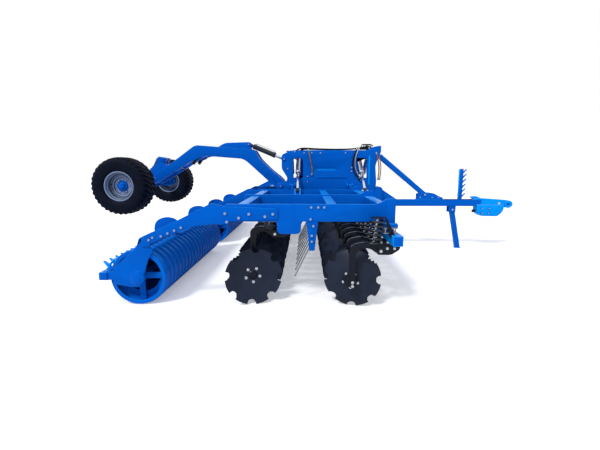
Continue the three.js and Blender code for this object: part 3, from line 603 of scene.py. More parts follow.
# bracket, arm, spring and hub seat of one disc, at y = 0 with the disc towards +Y or -Y
def makeArm(row):
    s, r = armSetup, armSetup[row]
    beamX, beamZ = r["beam"]
    half = s["beamHalf"]
    px, pz = beamX + s["pivot"][0], beamZ + s["pivot"][1]
    disc = jointPlace[f"disc_{row}_right_1_spin"]
    hubX, hubZ = disc.x, disc.z
    t = s["thick"] / 2
    parts = []
    # cheeks of the pivot bracket, clamped round the beam
    cheek = [(beamX + 28, beamZ - half + 4, 12), (beamX - 150, beamZ - half + 4, 30),
             (px - 42, pz + 18, 26), (px - 40, pz - 36, 30),
             (beamX - 60, pz - 38, 30), (beamX + 20, beamZ - half - 34, 20)]
    for y in (-t - 12, t + 2):
        parts.append(plate(cheek, y, y + 10, armBlackPaint, steps=4))
    parts.append(bar((px, -t - 18, pz), (px, t + 18, pz), 15, zincPlatedSteel))
    for side in (1, -1):
        parts += sideBolts([(beamX - 100, beamZ - half - 22), (beamX - 30, beamZ - half - 22)],
                           side * (t + 12), side, 16, zincPlatedSteel)
    # the arm rises from its pivot, bends over and drops to the hub
    arm = [(px + 32, pz - 28, 26), (px + 32, pz + 28, 26), (px - 60, pz + 66, 60), (px - 150, pz + 92, 70),
           (hubX - 40, pz + 60, 110), (hubX - 30, hubZ + 80, 60), (hubX - 40, hubZ - 44, 34),
           (hubX + 38, hubZ - 44, 34), (hubX + 28, hubZ + 90, 60), (hubX + 26, pz - 20, 90),
           (px - 165, pz + 26, 50), (px - 100, pz + 22, 50), (px - 40, pz - 24, 30)]
    limb = plate(arm, -t, t, armBlackPaint, edge=6, steps=7)
    # the arm's upward faces above its pivot are painted light steel, a painted highlight along its top
    limb.data.materials.append(paintedHighlightArmSteel)
    for face in limb.data.polygons:
        if face.normal.z > 0.5 and face.center.z > pz + 30:
            face.material_index = 1
    parts.append(limb)
    # seat of the hub, square to the disc's axle
    towards = -r["behind"]
    lean = math.radians(s["discLean"])
    axle = Vector((math.sin(lean), math.cos(lean) * towards, 0))
    hubEnd = Vector((hubX, towards * discSetup["armOffset"], hubZ)) - axle * s["hubBehind"]
    parts.append(turned([(0, 0), (40, 0), (44, 4), (44, 30), (0, 30)], armBlackPaint,
                        centre=hubEnd - axle * 30, axis=axle, steps=20, edge=1.5))
    parts += sideBolts([(hubX, hubZ + 12), (hubX, hubZ - 26)], -towards * t, -towards, 18, zincPlatedSteel)
    # overload spring on its guide rod, between the arm and a hanger on the beam
    foot = Vector((beamX + s["springFoot"][0], s["springSide"], beamZ + s["springFoot"][1] + 14))
    top = Vector((foot.x + s["springLean"], s["springSide"], r["springTop"] - 6))
    parts.append(coil(foot, top - Vector((0, 0, 8)), s["springRadius"], s["wire"], r["turns"],
                      springSteel, perTurn=18))
    parts.append(bar(foot - Vector((0, 0, 16)), top, 11, zincPlatedSteel, faces=10))
    for end in (foot, top):
        parts.append(bar(end - Vector((0, 0, 8)), end, s["springRadius"] - 2, armBlackPaint, faces=20))
    # hanger that stands on the beam and reaches back over the spring
    reach = top.x + s["springRadius"] + 6
    hanger = [(beamX - 50, beamZ + 16), (beamX - 20, beamZ + half + 4), (reach, top.z + 4),
              (top.x - 40, top.z + 4), (top.x - 40, top.z - 6), (reach - 10, top.z - 6),
              (beamX - 62, beamZ + 16)]
    for y in (s["springSide"] - 14, s["springSide"] + 8):
        parts.append(plate(hanger, y, y + 6, armBlackPaint, edge=1))
    return joinUp(parts)


for row in ("front", "rear"):
    armShape = makeArm(row)
    s, r = armSetup, armSetup[row]
    beamX, beamZ = r["beam"]
    half = s["beamHalf"]
    for name, side in sides.items():
        node = f"disc_arms_{row}_{name}"
        low, high = boxOf(node)
        ys = sorted(jointPlace[f"{d}_spin"].y for d in discNames if d.startswith(f"disc_{row}_{name}"))
        first = copyOf(armShape, (0, ys[0] + r["behind"] * discSetup["armOffset"], 0))
        pick(first)
        along = first.modifiers.new("row", "ARRAY")
        along.use_relative_offset = False
        along.use_constant_offset = True
        along.constant_offset_displace = (0, s["pitch"], 0)
        along.count = len(ys)
        bpy.ops.object.modifier_apply(modifier=along.name)
        beam = block((beamX - half, low.y, beamZ - half), (beamX + half, high.y, beamZ + half),
                     azurePowderCoat, 6)
        parts = [beam, first]
        if row == "front":
            # painted highlights: the lighter coat on the edges round the beam's outer end and on the back of
            # its outer half
            endY = low.y if side < 0 else high.y
            lapLow, lapHigh = sorted((endY - side * 4, endY))
            lip = half - 7
            for lowX, highX, lowZ, highZ in ((-half, half, -half, -lip), (-half, half, lip, half),
                                             (-half, -lip, -half, half), (lip, half, -half, half)):
                parts.append(block((beamX + lowX, lapLow, beamZ + lowZ),
                                   (beamX + highX, lapHigh, beamZ + highZ), paintedHighlightCoat, 1.5))
            paintWhere(beam, paintedHighlightCoat, lambda c: abs(c.y) > abs(endY) - 1500 and c.x < beamX - half + 8)
            # seats that bolt up to the posts of the wing
            for plateY in s["postAt"]:
                for lowZ, highZ in ((793, 807), (843, 857.7)):
                    parts.append(block((554, side * plateY - 80, lowZ), (695, side * plateY + 80, highZ),
                                       galvanisedSteel, 2))
                parts.append(block((585, side * plateY - 40, 800), (665, side * plateY + 40, 850),
                                   azurePowderCoat, 3))
                for x in (573, 676):
                    for y in (-63, 63):
                        parts.append(bar((x, side * plateY + y, 795), (x, side * plateY + y, 855),
                                         8, zincPlatedSteel, faces=8, edge=1))
        place(parts, f"{row}_disc_beam_{name}", f"wing_{name}", "black_paint", [node])
    bpy.data.objects.remove(armShape)
print("disc arms made")


# ---- packer rollers ----
rollerSetup = {
    "radius": 300,
    "valley": 252,
    "rings": 20,
    "crest": 70,          # width of a ring's flat top
    "wall": 6,
    "shaft": 40,
    "steps": 80,
}


def makeRoller():
    s = rollerSetup
    radius, valley, shaft = s["radius"], s["valley"], s["shaft"]
    low, high = boxOf("packer_roller_left")
    length = high.y - low.y
    pitch = length / s["rings"]
    flank = (pitch - s["crest"]) / 2 - 9
    outer = []
    for ring in range(s["rings"]):
        start = ring * pitch
        outer += [(valley, start + 9), (radius - 5, start + 9 + flank - 4),
                  (radius, start + 9 + flank), (radius, start + pitch - 9 - flank),
                  (radius - 5, start + pitch - 5 - flank), (valley, start + pitch - 9)]
    # the end rings run square to the drum's ends
    outer[0] = (radius - 8, 0)
    outer[-1] = (radius - 8, length)
    inner = [(r - s["wall"], y) for r, y in reversed(outer)]
    parts = [turned(outer + inner, rollerPowderCoat, steps=s["steps"], angle=30)]
    for end, way in ((0, 1), (length, -1)):
        # rim band and spoked wheel near each end
        face = end + way * 2
        band, hole = face + way * 12, radius - 46
        parts.append(turned([(radius - 7, face), (radius - 7, band), (hole, band), (hole, face)],
                            rollerPowderCoat, steps=64, edge=1))
        y = end + way * 90
        for turn in range(4):
            spoke = block((shaft * 0.8, y - 6, -34), (radius - 14, y + 6, 34), rollerPowderCoat, 2)
            spoke.data.transform(Matrix.Rotation(turn * math.pi / 2, 4, "Y"))
            parts.append(spoke)
        parts.append(turned([(shaft, y - 30), (shaft + 22, y - 30), (shaft + 22, y + 30), (shaft, y + 30)],
                            rollerPowderCoat, steps=24, edge=2))
    for rib in range(1, s["rings"], 3):
        y = rib * pitch
        parts.append(turned([(valley - 4, y - 4), (valley - 4, y + 4), (190, y + 4), (190, y - 4)],
                            rollerPowderCoat, steps=40))
    parts.append(bar((0, 0, 0), (0, length, 0), shaft, rollerPowderCoat, faces=24, edge=3))
    return joinUp(parts)


rollerShape = makeRoller()
for name, side in sides.items():
    low, high = boxOf(f"packer_roller_{name}")
    centre = (low + high) / 2
    made = copyOf(rollerShape, (centre.x, low.y, centre.z))
    place([made], f"ring_roller_{name}", f"roller_{name}", "blue_paint", [f"packer_roller_{name}"])
bpy.data.objects.remove(rollerShape)
print("rollers made")


# ---- roller frames with scrapers ----
scraperSetup = {
    "perWing": 19,
    "wide": 26,
    "beamBehind": 41,     # from the back of the roller frame to the scraper beam's middle
    "beamTop": 363,
    "tipReach": 278,      # from the roller's centre, in the valley between two rings
    "tipAngle": 34,       # degrees above level, behind the roller
    "armBolts": [(-560, 985), (-640, 960), (-802, 985), (-906, 945), (-1045, 990), (-1029, 905)],
    "endPlateBolts": [(-1500, 845), (-1570, 815), (-1640, 785), (-1710, 755), (-1800, 740), (-1840, 715)],
}

for name, side in sides.items():
    s = scraperSetup
    node = f"roller_frame_{name}"
    parts = [fromCad(node, 5, azurePowderCoat)]
    rollerLow, rollerHigh = boxOf(f"packer_roller_{name}")
    axisX, axisZ = (rollerLow.x + rollerHigh.x) / 2, (rollerLow.z + rollerHigh.z) / 2
    low, high = boxOf(node)
    beamX, beamTop = low.x + s["beamBehind"], s["beamTop"]
    pitch = (rollerHigh.y - rollerLow.y) / rollerSetup["rings"]
    tip = math.radians(s["tipAngle"])
    tipX, tipZ = axisX - math.cos(tip) * s["tipReach"], axisZ + math.sin(tip) * s["tipReach"]
    # the blades take the lighter coat, a painted highlight
    blade = plate([(beamX - 24, beamTop - 6), (beamX - 34, beamTop + 20), (beamX - 76, beamTop + 80),
                   (beamX - 63, beamTop + 86), (beamX - 12, beamTop + 50, 20), (tipX - 60, tipZ + 34, 30),
                   (tipX, tipZ + 6), (tipX - 4, tipZ - 8), (tipX - 64, tipZ + 10, 20),
                   (beamX + 2, beamTop + 36, 16), (beamX + 8, beamTop - 6)],
                  -s["wide"] / 2, s["wide"] / 2, paintedHighlightCoat, steps=3)
    foot = block((beamX - 34, -30, beamTop - 3), (beamX + 34, 30, beamTop + 7), azurePowderCoat, 1.5)
    scraper = joinUp([blade, foot] + bolts([(beamX + 20, 0, beamTop + 7)], (0, 0, 1), 18))
    for count in range(s["perWing"]):
        parts.append(copyOf(scraper, (0, rollerLow.y + (count + 1) * pitch, 0)))
    bpy.data.objects.remove(scraper)
    # bolts of the arm on the wing's side plate, and of the end plate on the arm
    armFace = high.y if side > 0 else low.y
    parts += sideBolts(s["armBolts"], armFace, side, 28)
    parts += sideBolts(s["endPlateBolts"], armFace, side, 24)
    # bearing housing on the end plate
    plateFace = side * (abs(rollerHigh.y if side > 0 else rollerLow.y) + 24)
    parts.append(turned([(0, 0), (78, 0), (80, 8), (58, 16), (40, 22), (0, 24)],
                        azurePowderCoat, centre=(axisX, plateFace - side * 2, axisZ), axis=(0, side, 0),
                        edge=1.5))
    place(parts, f"roller_carrier_{name}", f"wing_{name}", "blue_paint", [node])
print("roller frames made")


# ---- second pair of folding cylinders, at the front of the tower ----
frontFold = {
    "x": {"right": 720, "left": 840},
    "window": 85,         # half the width of the window in the tower plate
    "windowLow": 1250,
    "windowHigh": 1600,
    "pivotUp": 1660,
    "eyeOut": 680,
    "eyeUp": 1070,
    "lugGap": 28,         # from the eye's middle to a lug
}


# ---- wing frames ----
wingSetup = {
    "tines": 10,
    "tineStep": 245,
    "face": 2912.5,       # outer face of the outer plate, from the middle
    "faceBolts": [(-179, 930), (-150, 860), (-172, 1052), (-100, 1052), (-40, 1052), (-165, 700),
                  (-165, 760)],
}

for name, side in sides.items():
    node = f"wing_frame_{name}"
    wing = fromCad(node, 5, azurePowderCoat)
    foldX = jointPlace[f"fold_barrel_{name}_turn"].x
    # the fold cylinder's brackets on the wing take the lighter coat, a painted highlight
    paintWhere(wing, paintedHighlightCoat, lambda c: 560 < abs(c.y) < 800 and abs(c.x - foldX) < 62 and c.z > 985)
    paintWhere(wing, galvanisedSteel, lambda c: -370 < c.x < -180 and c.z < 615)
    paintWhere(wing, galvanisedSteel, lambda c: 857 < c.z < 859.5 and c.x > 500)
    parts = [wing]
    # coils where the tines leave their bar
    tineCoil = coil((0, -20, 0), (0, 34, 0), 27, 6, 4, galvanisedSteel, around=7, perTurn=12)
    for tine in range(wingSetup["tines"]):
        y = side * (armSetup["postAt"][0] + wingSetup["tineStep"] * (tine + 0.5))
        parts.append(copyOf(tineCoil, (-172, y, 640)))
    bpy.data.objects.remove(tineCoil)
    parts += sideBolts(wingSetup["faceBolts"], side * wingSetup["face"], side, 24)
    for plateY in armSetup["postAt"]:
        spots = [(x, side * plateY + y, 890) for x in (572, 677) for y in (-68, 68)]
        parts += bolts(spots, (0, 0, 1), 24)
    # lugs that carry the front folding cylinder's eye, on a foot bolted to the wing's front cross tube, both
    # in the lighter coat as a painted highlight
    eyeX, eyeY, eyeUp = frontFold["x"][name], side * frontFold["eyeOut"], frontFold["eyeUp"]
    lug = [(eyeY - 92, 960), (eyeY - 36, eyeUp + 24, 34), (eyeY + 36, eyeUp + 24, 34), (eyeY + 92, 960),
           (eyeY + 60, 905, 20), (eyeY - 60, 905, 20)]
    for x in (eyeX - frontFold["lugGap"] - 14, eyeX + frontFold["lugGap"]):
        parts.append(plate(lug, x, x + 14, paintedHighlightCoat, plane="YZ"))
    parts.append(block((650, eyeY - 60, 915), (eyeX + 36, eyeY + 60, 990), paintedHighlightCoat, 4))
    parts.append(bar((eyeX - 50, eyeY, eyeUp), (eyeX + 50, eyeY, eyeUp), 20, zincPlatedSteel, faces=20))
    # doubling plate on the outer post
    parts.append(sidePlate([(585, 905), (675, 905), (675, 1128, 10), (585, 1128, 10)],
                           side, wingSetup["face"], wingSetup["face"] + 4, azurePowderCoat, 1.5))
    place(parts, f"wing_beam_frame_{name}", f"wing_{name}", "blue_paint", [node])
print("wing frames made")


# ---- centre frame and tower ----
towerSetup = {
    "face": 270,          # outer face of a side plate, from the middle
    "bolts": [(-258, 1684), (-128, 1684), (18, 1684), (440, 1684), (600, 1684), (-540, 1420), (-200, 1200),
              (-200, 1290), (548, 1440), (548, 1380)],
    "ribX": {-1: 834, 1: 704},
}
windows = []
for name, side in sides.items():
    near, far = sorted((side * 200, side * 300))
    x, reach = frontFold["x"][name], frontFold["window"]
    windows.append(((x - reach, near, frontFold["windowLow"]), (x + reach, far, frontFold["windowHigh"])))
parts = [fromCad("centre_frame", 5, azurePowderCoat, windows)]
# ears that hold the front folding cylinders inside the tower, on a cross bar between its plates
for name, side in sides.items():
    x, pivotY, pivotUp = frontFold["x"][name], -side * 200, frontFold["pivotUp"]
    for earX in (x - 42, x + 28):
        parts.append(plate([(pivotY - 46, 1722), (pivotY - 40, 1650, 40), (pivotY, 1618, 44),
                            (pivotY + 40, 1650, 40), (pivotY + 46, 1722)], earX, earX + 14,
                           azurePowderCoat, plane="YZ"))
    parts.append(bar((x - 48, pivotY, pivotUp), (x + 48, pivotY, pivotUp), 20, zincPlatedSteel, faces=20))
parts.append(block((650, -252, 1712), (900, 252, 1726), azurePowderCoat, 2))
for side in (-1, 1):
    face = side * towerSetup["face"]
    parts += sideBolts(towerSetup["bolts"], face, side, 24)
    # ledge under the slot, and rib beside the window in the lighter coat as a painted highlight
    ribX = towerSetup["ribX"][side]
    for outline, material in (([(-30, 1262), (470, 1262), (470, 1286, 8), (-30, 1286, 8)], azurePowderCoat),
                              ([(ribX, 1150), (ribX + 24, 1150), (ribX + 24, 1640, 20), (ribX, 1640, 20)],
                               paintedHighlightCoat)):
        parts.append(sidePlate(outline, side, towerSetup["face"] - 2, towerSetup["face"] + 8, material, 1.5))
    # strip that closes the tower plate's slot from inside, in the lighter coat as a painted highlight
    inner = sorted((side * 243, side * 251))
    parts.append(block((-80, inner[0], 1380), (310, inner[1], 1445), paintedHighlightCoat, 1))
    # pin heads of the transport arm and of the lift cylinder
    for x, z, r in ((-658, 1126, 44), (-598, 1580, 30)):
        parts.append(turned([(0, 0), (r, 0), (r, 8), (r * 0.8, 12), (0, 12)], azurePowderCoat,
                            centre=(x, face if z > 1200 else side * 272, z), axis=(0, side, 0), steps=24,
                            edge=1))
        parts += sideBolts([(x, z)], side * 282, side, 22)
parts.append(bar((-598, -270, 1580), (-598, 270, 1580), 22, zincPlatedSteel))
place(parts, "centre_tower", "chassis", "blue_paint", ["centre_frame"])

# hoses clipped along the tower, each held at both ends
hoseRuns = [
    # along the tower's top edge
    (hoseRubber, 11, [(-430, -255, 1690), (-380, -262, 1742), (-300, -262, 1768), (-180, -250, 1760),
                      (60, -235, 1748), (300, -235, 1744), (560, -240, 1748), (700, -250, 1772),
                      (790, -258, 1788), (860, -262, 1800)]),
    (hoseRubber, 11, [(-350, -255, 1690), (-320, -240, 1736), (-250, -232, 1752), (-120, -222, 1746),
                      (160, -212, 1742), (420, -212, 1742), (620, -220, 1752), (740, -236, 1780),
                      (840, -240, 1792), (900, -232, 1770)]),
    # down the near face
    (hoseSleeve, 10, [(-190, -262, 1742), (-170, -280, 1700), (-160, -284, 1600), (-130, -284, 1480),
                      (-110, -284, 1380), (-128, -280, 1310)]),
    (hoseRubber, 11, [(640, -262, 1770), (600, -286, 1700), (566, -296, 1600), (560, -296, 1480),
                      (590, -296, 1360), (650, -300, 1270), (720, -296, 1215)]),
    (galvanisedSteel, 9, [(670, -262, 1770), (634, -286, 1690), (600, -298, 1590), (598, -298, 1480),
                          (625, -298, 1370), (680, -304, 1280), (745, -296, 1222)]),
    # down the front edge
    (hoseSleeve, 11, [(960, -262, 1690), (985, -286, 1600), (1005, -290, 1500), (1012, -290, 1400),
                      (1006, -286, 1300), (1000, -276, 1235)]),
    (hoseSleeve, 9, [(990, -250, 1700), (1020, -270, 1600), (1040, -276, 1500), (1046, -276, 1400),
                     (1038, -268, 1300), (1030, -262, 1235)]),
]
parts = [hose(points, radius, material) for material, radius, points in hoseRuns]
for spot in (Vector((-300, -258, 1744)), Vector((160, -235, 1738)), Vector((700, -250, 1762))):
    parts.append(block(spot - Vector((14, 22, 26)), spot + Vector((14, 34, 18)), hoseRubber, 4))
# valve block that the hoses run to, on the tower's top
parts.append(block((690, -266, 1738), (830, -196, 1786), hoseRubber, 5))
for x in (712, 748, 784, 816):
    parts.append(bar((x, -222, 1780), (x, -222, 1806), 11, galvanisedSteel, faces=12))
    parts.append(hose([(x, -222, 1800), (x + 4, -222, 1822), (x + 30, -224, 1832), (x + 66, -228, 1822),
                       (x + 90, -232, 1796)], 8, hoseRubber))
# screw-on ends
for material, radius, points in hoseRuns:
    for end, after in ((points[0], points[1]), (points[-1], points[-2])):
        start = Vector(end)
        way = (Vector(after) - start).normalized()
        parts.append(bar(start - way * 4, start + way * 34, radius + 4, galvanisedSteel, faces=10, edge=1))
place(parts, "tower_hoses", "chassis")
print("tower made")


# ---- drawbar ----
drawbarSetup = {
    "teeth": 6,
    "toothStep": 84,
    "toothLow": 915,
    # places of bolts, the face they stand on, out from the middle, and their size
    "bolts": [([(1880, 962)], 52, 34), ([(1800, 915), (2010, 915), (2120, 915)], 52, 22),
              ([(2890, 725), (2890, 640), (3010, 725), (3010, 640)], 85, 26)],
}
draw = fromCad("drawbar", 5, azurePowderCoat)
# the hitch head takes the lighter coat, a painted highlight
paintWhere(draw, paintedHighlightCoat, lambda c: c.x > 2722 and not (57.5 < abs(c.y) < 62.5 and c.z > 760))
parts = [draw]
for side in (-1, 1):
    out = (0, side, 0)
    for spots, face, across in drawbarSetup["bolts"]:
        parts += sideBolts(spots, side * face, side, across)
    # side plates and eye rings of the hitch in the lighter coat, a painted highlight
    parts.append(sidePlate([(3040, 605, 20), (3180, 605, 30), (3250, 690, 30), (3245, 770, 20),
                            (3040, 770, 20)], side, 85, 91, paintedHighlightCoat))
    parts.append(turned([(32, 0), (62, 0), (62, 10), (54, 14), (32, 14)], paintedHighlightCoat,
                        centre=(3355, side * 55, 792), axis=out, steps=32, edge=1.5))
    parts.append(turned([(0, 0), (22, 0), (22, 12), (0, 12)], zincPlatedSteel,
                        centre=(3190, side * 55, 812), axis=out, steps=20, edge=1))
# cover plate over the clevis in the lighter coat as a painted highlight, and the pin's black sleeve under it
parts.append(plate([(2735, 900), (2700, 930, 10), (2790, 940, 12), (2860, 912, 10), (2840, 896)],
                   -46, 46, paintedHighlightCoat, edge=3))
parts.append(bar((2752, 0, 668), (2806, 0, 678), 26, armBlackPaint, faces=20, edge=4))
# rests for the tractor's hoses on their post
for tooth in range(drawbarSetup["teeth"]):
    z = drawbarSetup["toothLow"] + drawbarSetup["toothStep"] * tooth
    parts.append(plate([(2540, z - 6), (2540, z + 24), (2600, z + 78, 6), (2611, z + 66, 6)], -11, 11,
                       azurePowderCoat))
# the post's edge strip in the lighter coat, a painted highlight
parts.append(plate([(2480, 878), (2494, 878), (2494, 1412, 8), (2480, 1404, 8)], -16, 16, paintedHighlightCoat))
place(parts, "towing_drawbar", "chassis", "blue_paint", ["drawbar"])


# ---- parking stand ----
pivot, reach = jointPlace["parking_stand_fold"], Vector((0, 58, 0))
parts = [fromCad("parking_stand", 6, azurePowderCoat),
         bar(pivot - reach, pivot + reach, 14, zincPlatedSteel),
         block((2473, -46, 0), (2581, 46, 9), azurePowderCoat)]
place(parts, "stand_leg", "stand", "blue_paint", ["parking_stand"])


# ---- transport arm ----
parts = [fromCad("transport_arm", 6, azurePowderCoat)]
axle = jointPlace["wheel_right_spin"]
liftPivot = jointPlace["lift_barrel_turn"]
for side in (-1, 1):
    out = (0, side, 0)
    # pin head of the lift cylinder
    parts.append(turned([(0, 0), (34, 0), (34, 6), (26, 10), (0, 10)], azurePowderCoat,
                        centre=(liftPivot.x, side * 56, liftPivot.z), axis=out, steps=24, edge=1))
    parts += sideBolts([(liftPivot.x, liftPivot.z)], side * 65, side, 20)
    parts += sideBolts([(-2830, 1262), (-2880, 1222)], side * 232, side, 22)
    # stub flange behind each wheel
    parts.append(turned([(38, 0), (92, 0), (92, 14), (60, 26), (38, 30)], azurePowderCoat,
                        centre=(axle.x, side * 748, axle.z), axis=out, steps=28, edge=1))
    # rear lamp box
    parts.append(sidePlate([(-2895, 1440), (-2800, 1630, 12), (-2672, 1600, 12), (-2740, 1430)],
                           side, 12, 132, azurePowderCoat, 4))
    parts.append(sidePlate([(-2884, 1480), (-2824, 1600), (-2832, 1606), (-2893, 1485)],
                           side, 26, 118, redLensPlastic))
    # eye for the safety chain under the knee
    parts.append(sidePlate([(-2200, 1515, 8), (-2120, 1625), (-2040, 1675), (-2025, 1595, 10),
                            (-2110, 1561, 10), (-2160, 1485, 8)], side, 150, 190, armBlackPaint))
place(parts, "transport_gooseneck", "transport", "blue_paint", ["transport_arm"])


# ---- wheels ----
wheelSetup = {
    "radius": 433,
    "half": 200,
    "lugs": 34,
    "lugDepth": 13,
    "treadFrom": 370,     # radius at which the lugs begin
    "steps": 272,
    "sweep": 5.2,         # how far a lug leans round the tyre from its middle to its shoulder
}


# one wheel with its outer face towards +Y
def makeWheel():
    s = wheelSetup
    radius, half = s["radius"], s["half"]
    flank = [(214, 150), (232, 176), (262, 192), (305, 199), (350, 199), (378, 194), (398, 184), (412, 172),
             (421, 156),
             (427, 138), (430, 118), (432, 96), (433, 72), (433, 48), (433, 24)]
    outer = flank + [(radius, 0)] + [(r, -y) for r, y in reversed(flank)]
    inner = [(300, -165), (392, -110), (392, 110), (300, 165)]
    tyre = turned(outer + inner, tyreRubber, steps=s["steps"], angle=50)
    # diagonal lugs that run out over the shoulders
    for vertex in tyre.data.vertices:
        across = fromAxle(vertex.co)
        if across < s["treadFrom"] or (abs(vertex.co.y) < 112 and across < 400):
            continue
        turn = math.atan2(vertex.co.z, vertex.co.x)
        side = 1 if vertex.co.y >= 0 else -1
        away = abs(vertex.co.y) / half
        phase = s["lugs"] * turn + side * s["sweep"] * away * 1.4 + (math.pi if side < 0 else 0)
        groove = min(1, max(0, 0.5 + 1.5 * math.cos(phase)))
        centre = 1 if away > 0.1 else 0.35
        fade = min(1, (across - s["treadFrom"]) / 40)
        across -= s["lugDepth"] * groove * fade * centre
        vertex.co.x, vertex.co.z = math.cos(turn) * across, math.sin(turn) * across
    soften(tyre, 0, angle=32)
    barrel = turned([(222, 170), (210, 172), (203, 152), (190, 146), (186, 126),
                     (172, 118), (168, 96), (166, -100), (186, -132),
                     (203, -152), (210, -172), (222, -170), (224, -156),
                     (200, -120), (180, -90), (180, 100), (200, 130),
                     (224, 156)], rimSilverPaint, steps=64, edge=1.5, angle=30)
    # painted shade in the wells of the rim's barrel
    paintWhere(barrel, paintedRimShade, lambda c: 166 < fromAxle(c) < 184 or 191 < fromAxle(c) < 203)
    web = turned([(172, 78), (158, 76), (150, 58), (132, 54), (124, 38),
                  (102, 36), (60, 34), (60, 24), (102, 26), (130, 28),
                  (140, 46), (158, 50), (172, 66)], rimSilverPaint, steps=64, edge=1.5, angle=30)
    # painted shade in the grooves of the rim's web
    paintWhere(web, paintedRimShade, lambda c: 124 < fromAxle(c) < 133 or 150 < fromAxle(c) < 159)
    hub = turned([(0, 108), (34, 108), (46, 100), (50, 62), (74, 58), (80, 50),
                  (82, 30), (88, -18), (0, -18)], azurePowderCoat, steps=32, edge=1.5)
    nuts = bolts([(math.cos(a) * 98, 36, math.sin(a) * 98) for a in [i * math.pi / 3 for i in range(6)]],
                 (0, 1, 0), 22)
    valve = bar((150, 60, 20), (158, 104, 22), 5, hoseRubber, faces=8, edge=1)
    return joinUp([tyre, barrel, web, hub, valve] + nuts)


wheelShape = makeWheel()
for name, side in sides.items():
    made = copyOf(wheelShape)
    turn = Matrix.Rotation(math.pi if side < 0 else 0, 4, "Z")
    made.data.transform(Matrix.Translation(jointPlace[f"wheel_{name}_spin"]) @ turn)
    place([made], f"road_wheel_assembly_{name}", f"road_wheel_{name}", "tyre", [f"wheel_{name}"])
bpy.data.objects.remove(wheelShape)
print("wheels made")


# ---- hydraulic cylinders ----
cylinderSetup = {
    "lift": {"neck": 85, "length": 505, "radius": 46, "bore": 27, "rod": 25, "rodLength": 520,
             "eye": 40, "eyeHalf": 28, "eyePlace": (-598, 0, 1580)},
    "fold": {"neck": 55, "length": 562, "radius": 45, "bore": 28, "rod": 26, "rodLength": 517,
             "eye": 38, "eyeHalf": 23},
}


# ring of a cylinder's eye, its bore across the cylinder
def eyeRing(s, centre, way, material):
    across = Vector((0, 1, 0)) if abs(way.y) < 0.1 else Vector((1, 0, 0))
    radius, half = s["eye"], s["eyeHalf"]
    profile = [(0, -half), (radius * 0.55, -half), (radius, -half + 4), (radius, half - 4),
               (radius * 0.55, half), (0, half)]
    return turned(profile, material, centre=centre, axis=across, steps=28)


def cylinderBarrel(s, pivot, end, material):
    way = (end - pivot).normalized()
    radius, neck, length = s["radius"], s["neck"], s["length"]
    body = turned([(s["bore"], neck + 30), (s["bore"], length), (radius * 0.92, length), (radius, length - 5),
                   (radius, length - 62), (radius * 0.93, length - 66), (radius * 0.93, neck + 26),
                   (radius, neck + 22), (radius, neck + 6), (radius * 0.8, neck), (0, neck), (0, neck + 30)],
                  material, centre=pivot, axis=way, edge=1)
    shank = bar(pivot + way * 12, pivot + way * (neck + 6), s["eye"] * 0.72, material, faces=18)
    up = (Vector((0, 0, 1)) - way * way.z).normalized()
    start, stop = [pivot + way * at for at in (neck + 34, length - 34)]
    ports = [bar(spot + up * radius * 0.8, spot + up * (radius + 20), 12, zincPlatedSteel, faces=12)
             for spot in (start, stop)]
    start, stop = start + up * (radius + 16), stop + up * (radius + 16)
    pipe = hose([start, start + way * 40, (start + stop) / 2, stop - way * 60, stop - way * 20], 5.5,
                zincPlatedSteel)
    return [body, shank, eyeRing(s, pivot, way, material), pipe] + ports


def cylinderRod(s, eyePlace, towards, eyeMaterial):
    way = (towards - eyePlace).normalized()
    radius, eye = s["rod"], s["eye"]
    rod = bar(eyePlace + way * 10, eyePlace + way * s["rodLength"], radius, chromedRod, faces=28, edge=2)
    neck = turned([(0, 8), (radius * 1.25, 8), (radius * 1.3, eye + 2), (radius * 1.05, eye + 6),
                   (0, eye + 6)],
                  eyeMaterial, centre=eyePlace, axis=way, steps=24, edge=1)
    return [rod, neck, eyeRing(s, eyePlace, way, eyeMaterial)]


s = cylinderSetup["lift"]
liftEye = Vector(s["eyePlace"])
place(cylinderBarrel(s, liftPivot, liftEye, barrelBlackPaint), "lift_barrel", "lift_barrel", "black_paint",
      ["lift_cylinder_barrel"])
place(cylinderRod(s, liftEye, liftPivot, barrelBlackPaint), "lift_rod", "lift_rod", "chromed_rod",
      ["lift_cylinder_rod"])

s = cylinderSetup["fold"]
for name, side in sides.items():
    pivot = jointPlace[f"fold_barrel_{name}_turn"]
    eye = Vector((pivot.x, side * frontFold["eyeOut"], frontFold["eyeUp"]))
    # the pair with joints of its own, then the pair ahead of it, which rides on the same bodies
    for pair, ahead in (("", 0), ("front_", frontFold["x"][name] - pivot.x)):
        shift = Vector((ahead, 0, 0))
        barrel = cylinderBarrel(s, pivot + shift, eye + shift, zincPlatedSteel)
        place(barrel, f"{pair}fold_barrel_{name}", f"fold_barrel_{name}", "zinc_steel",
              () if pair else [f"fold_cylinder_{name}_barrel"])
        rod = cylinderRod(s, eye + shift, pivot + shift, barrelBlackPaint)
        place(rod, f"{pair}fold_rod_{name}", f"fold_rod_{name}", "chromed_rod",
              () if pair else [f"fold_cylinder_{name}_rod"])
print("cylinders made")

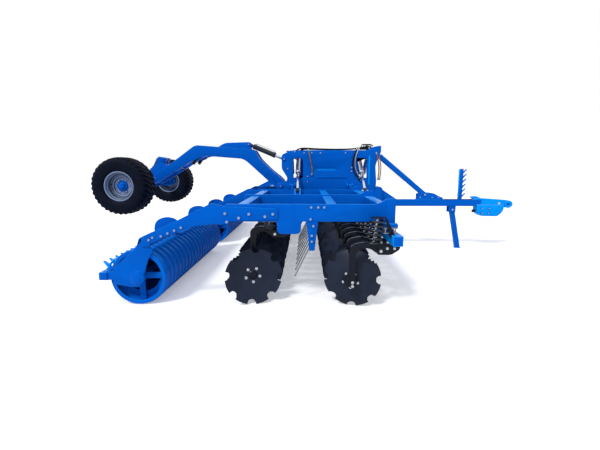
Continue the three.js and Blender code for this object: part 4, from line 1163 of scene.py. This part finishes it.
for head in boltHeads.values():
    bpy.data.objects.remove(head)

# ---- floor, light and background ----
clearSelection()
bpy.ops.mesh.primitive_plane_add(size=60, location=(0, 0, 0))
floor = bpy.context.object
floor.name = "studio_floor"
floorPaint, tree, speckPlace = newMaterial("studioFloorPaint")
seen = addNode(tree, "ShaderNodeLightPath").outputs["Is Camera Ray"]
glow = addNode(tree, "ShaderNodeMath", {"operation": "MULTIPLY", 1: 0.3}, {0: seen})
finishMaterial(tree, {"Roughness": 0.9, "Specular IOR Level": 0.0, "Emission Color": (1, 1, 1, 1)},
               {"Base Color": blend(tree, "#F4F5F6", "#F8F8F8", noise(tree, speckPlace, 500, 2.0)),
                "Emission Strength": glow.outputs["Value"]})
dress(floor, floorPaint)

lightSetup = {"sky": 0.66, "sun": 2.0, "sunSize": 10, "sunTurn": (36, -26, 0)}
world = bpy.data.worlds.new("studioWorld")
bpy.context.scene.world = world
world.use_nodes = True
tree = world.node_tree
tree.nodes.clear()
path = addNode(tree, "ShaderNodeLightPath")
seen = path.outputs["Is Camera Ray"]
for ray in ("Is Glossy Ray", "Is Transmission Ray"):
    seen = addNode(tree, "ShaderNodeMath", {"operation": "MAXIMUM"},
                   {0: seen, 1: path.outputs[ray]}).outputs["Value"]
soft = addNode(tree, "ShaderNodeBackground", {"Color": toLinear("#F3F6FF"), "Strength": lightSetup["sky"]})
plain = addNode(tree, "ShaderNodeBackground", {"Color": (1, 1, 1, 1), "Strength": 1.0})
both = addNode(tree, "ShaderNodeMixShader", {}, {0: seen, 1: soft.outputs[0], 2: plain.outputs[0]})
addNode(tree, "ShaderNodeOutputWorld", {}, {"Surface": both.outputs[0]})

clearSelection()
sunTurn = [math.radians(a) for a in lightSetup["sunTurn"]]
bpy.ops.object.light_add(type="SUN", location=(-4, -5, 8), rotation=sunTurn)
bpy.context.object.data.energy = lightSetup["sun"]
bpy.context.object.data.angle = math.radians(lightSetup["sunSize"])
bpy.context.scene.view_settings.view_transform = "Standard"
print("studio made")
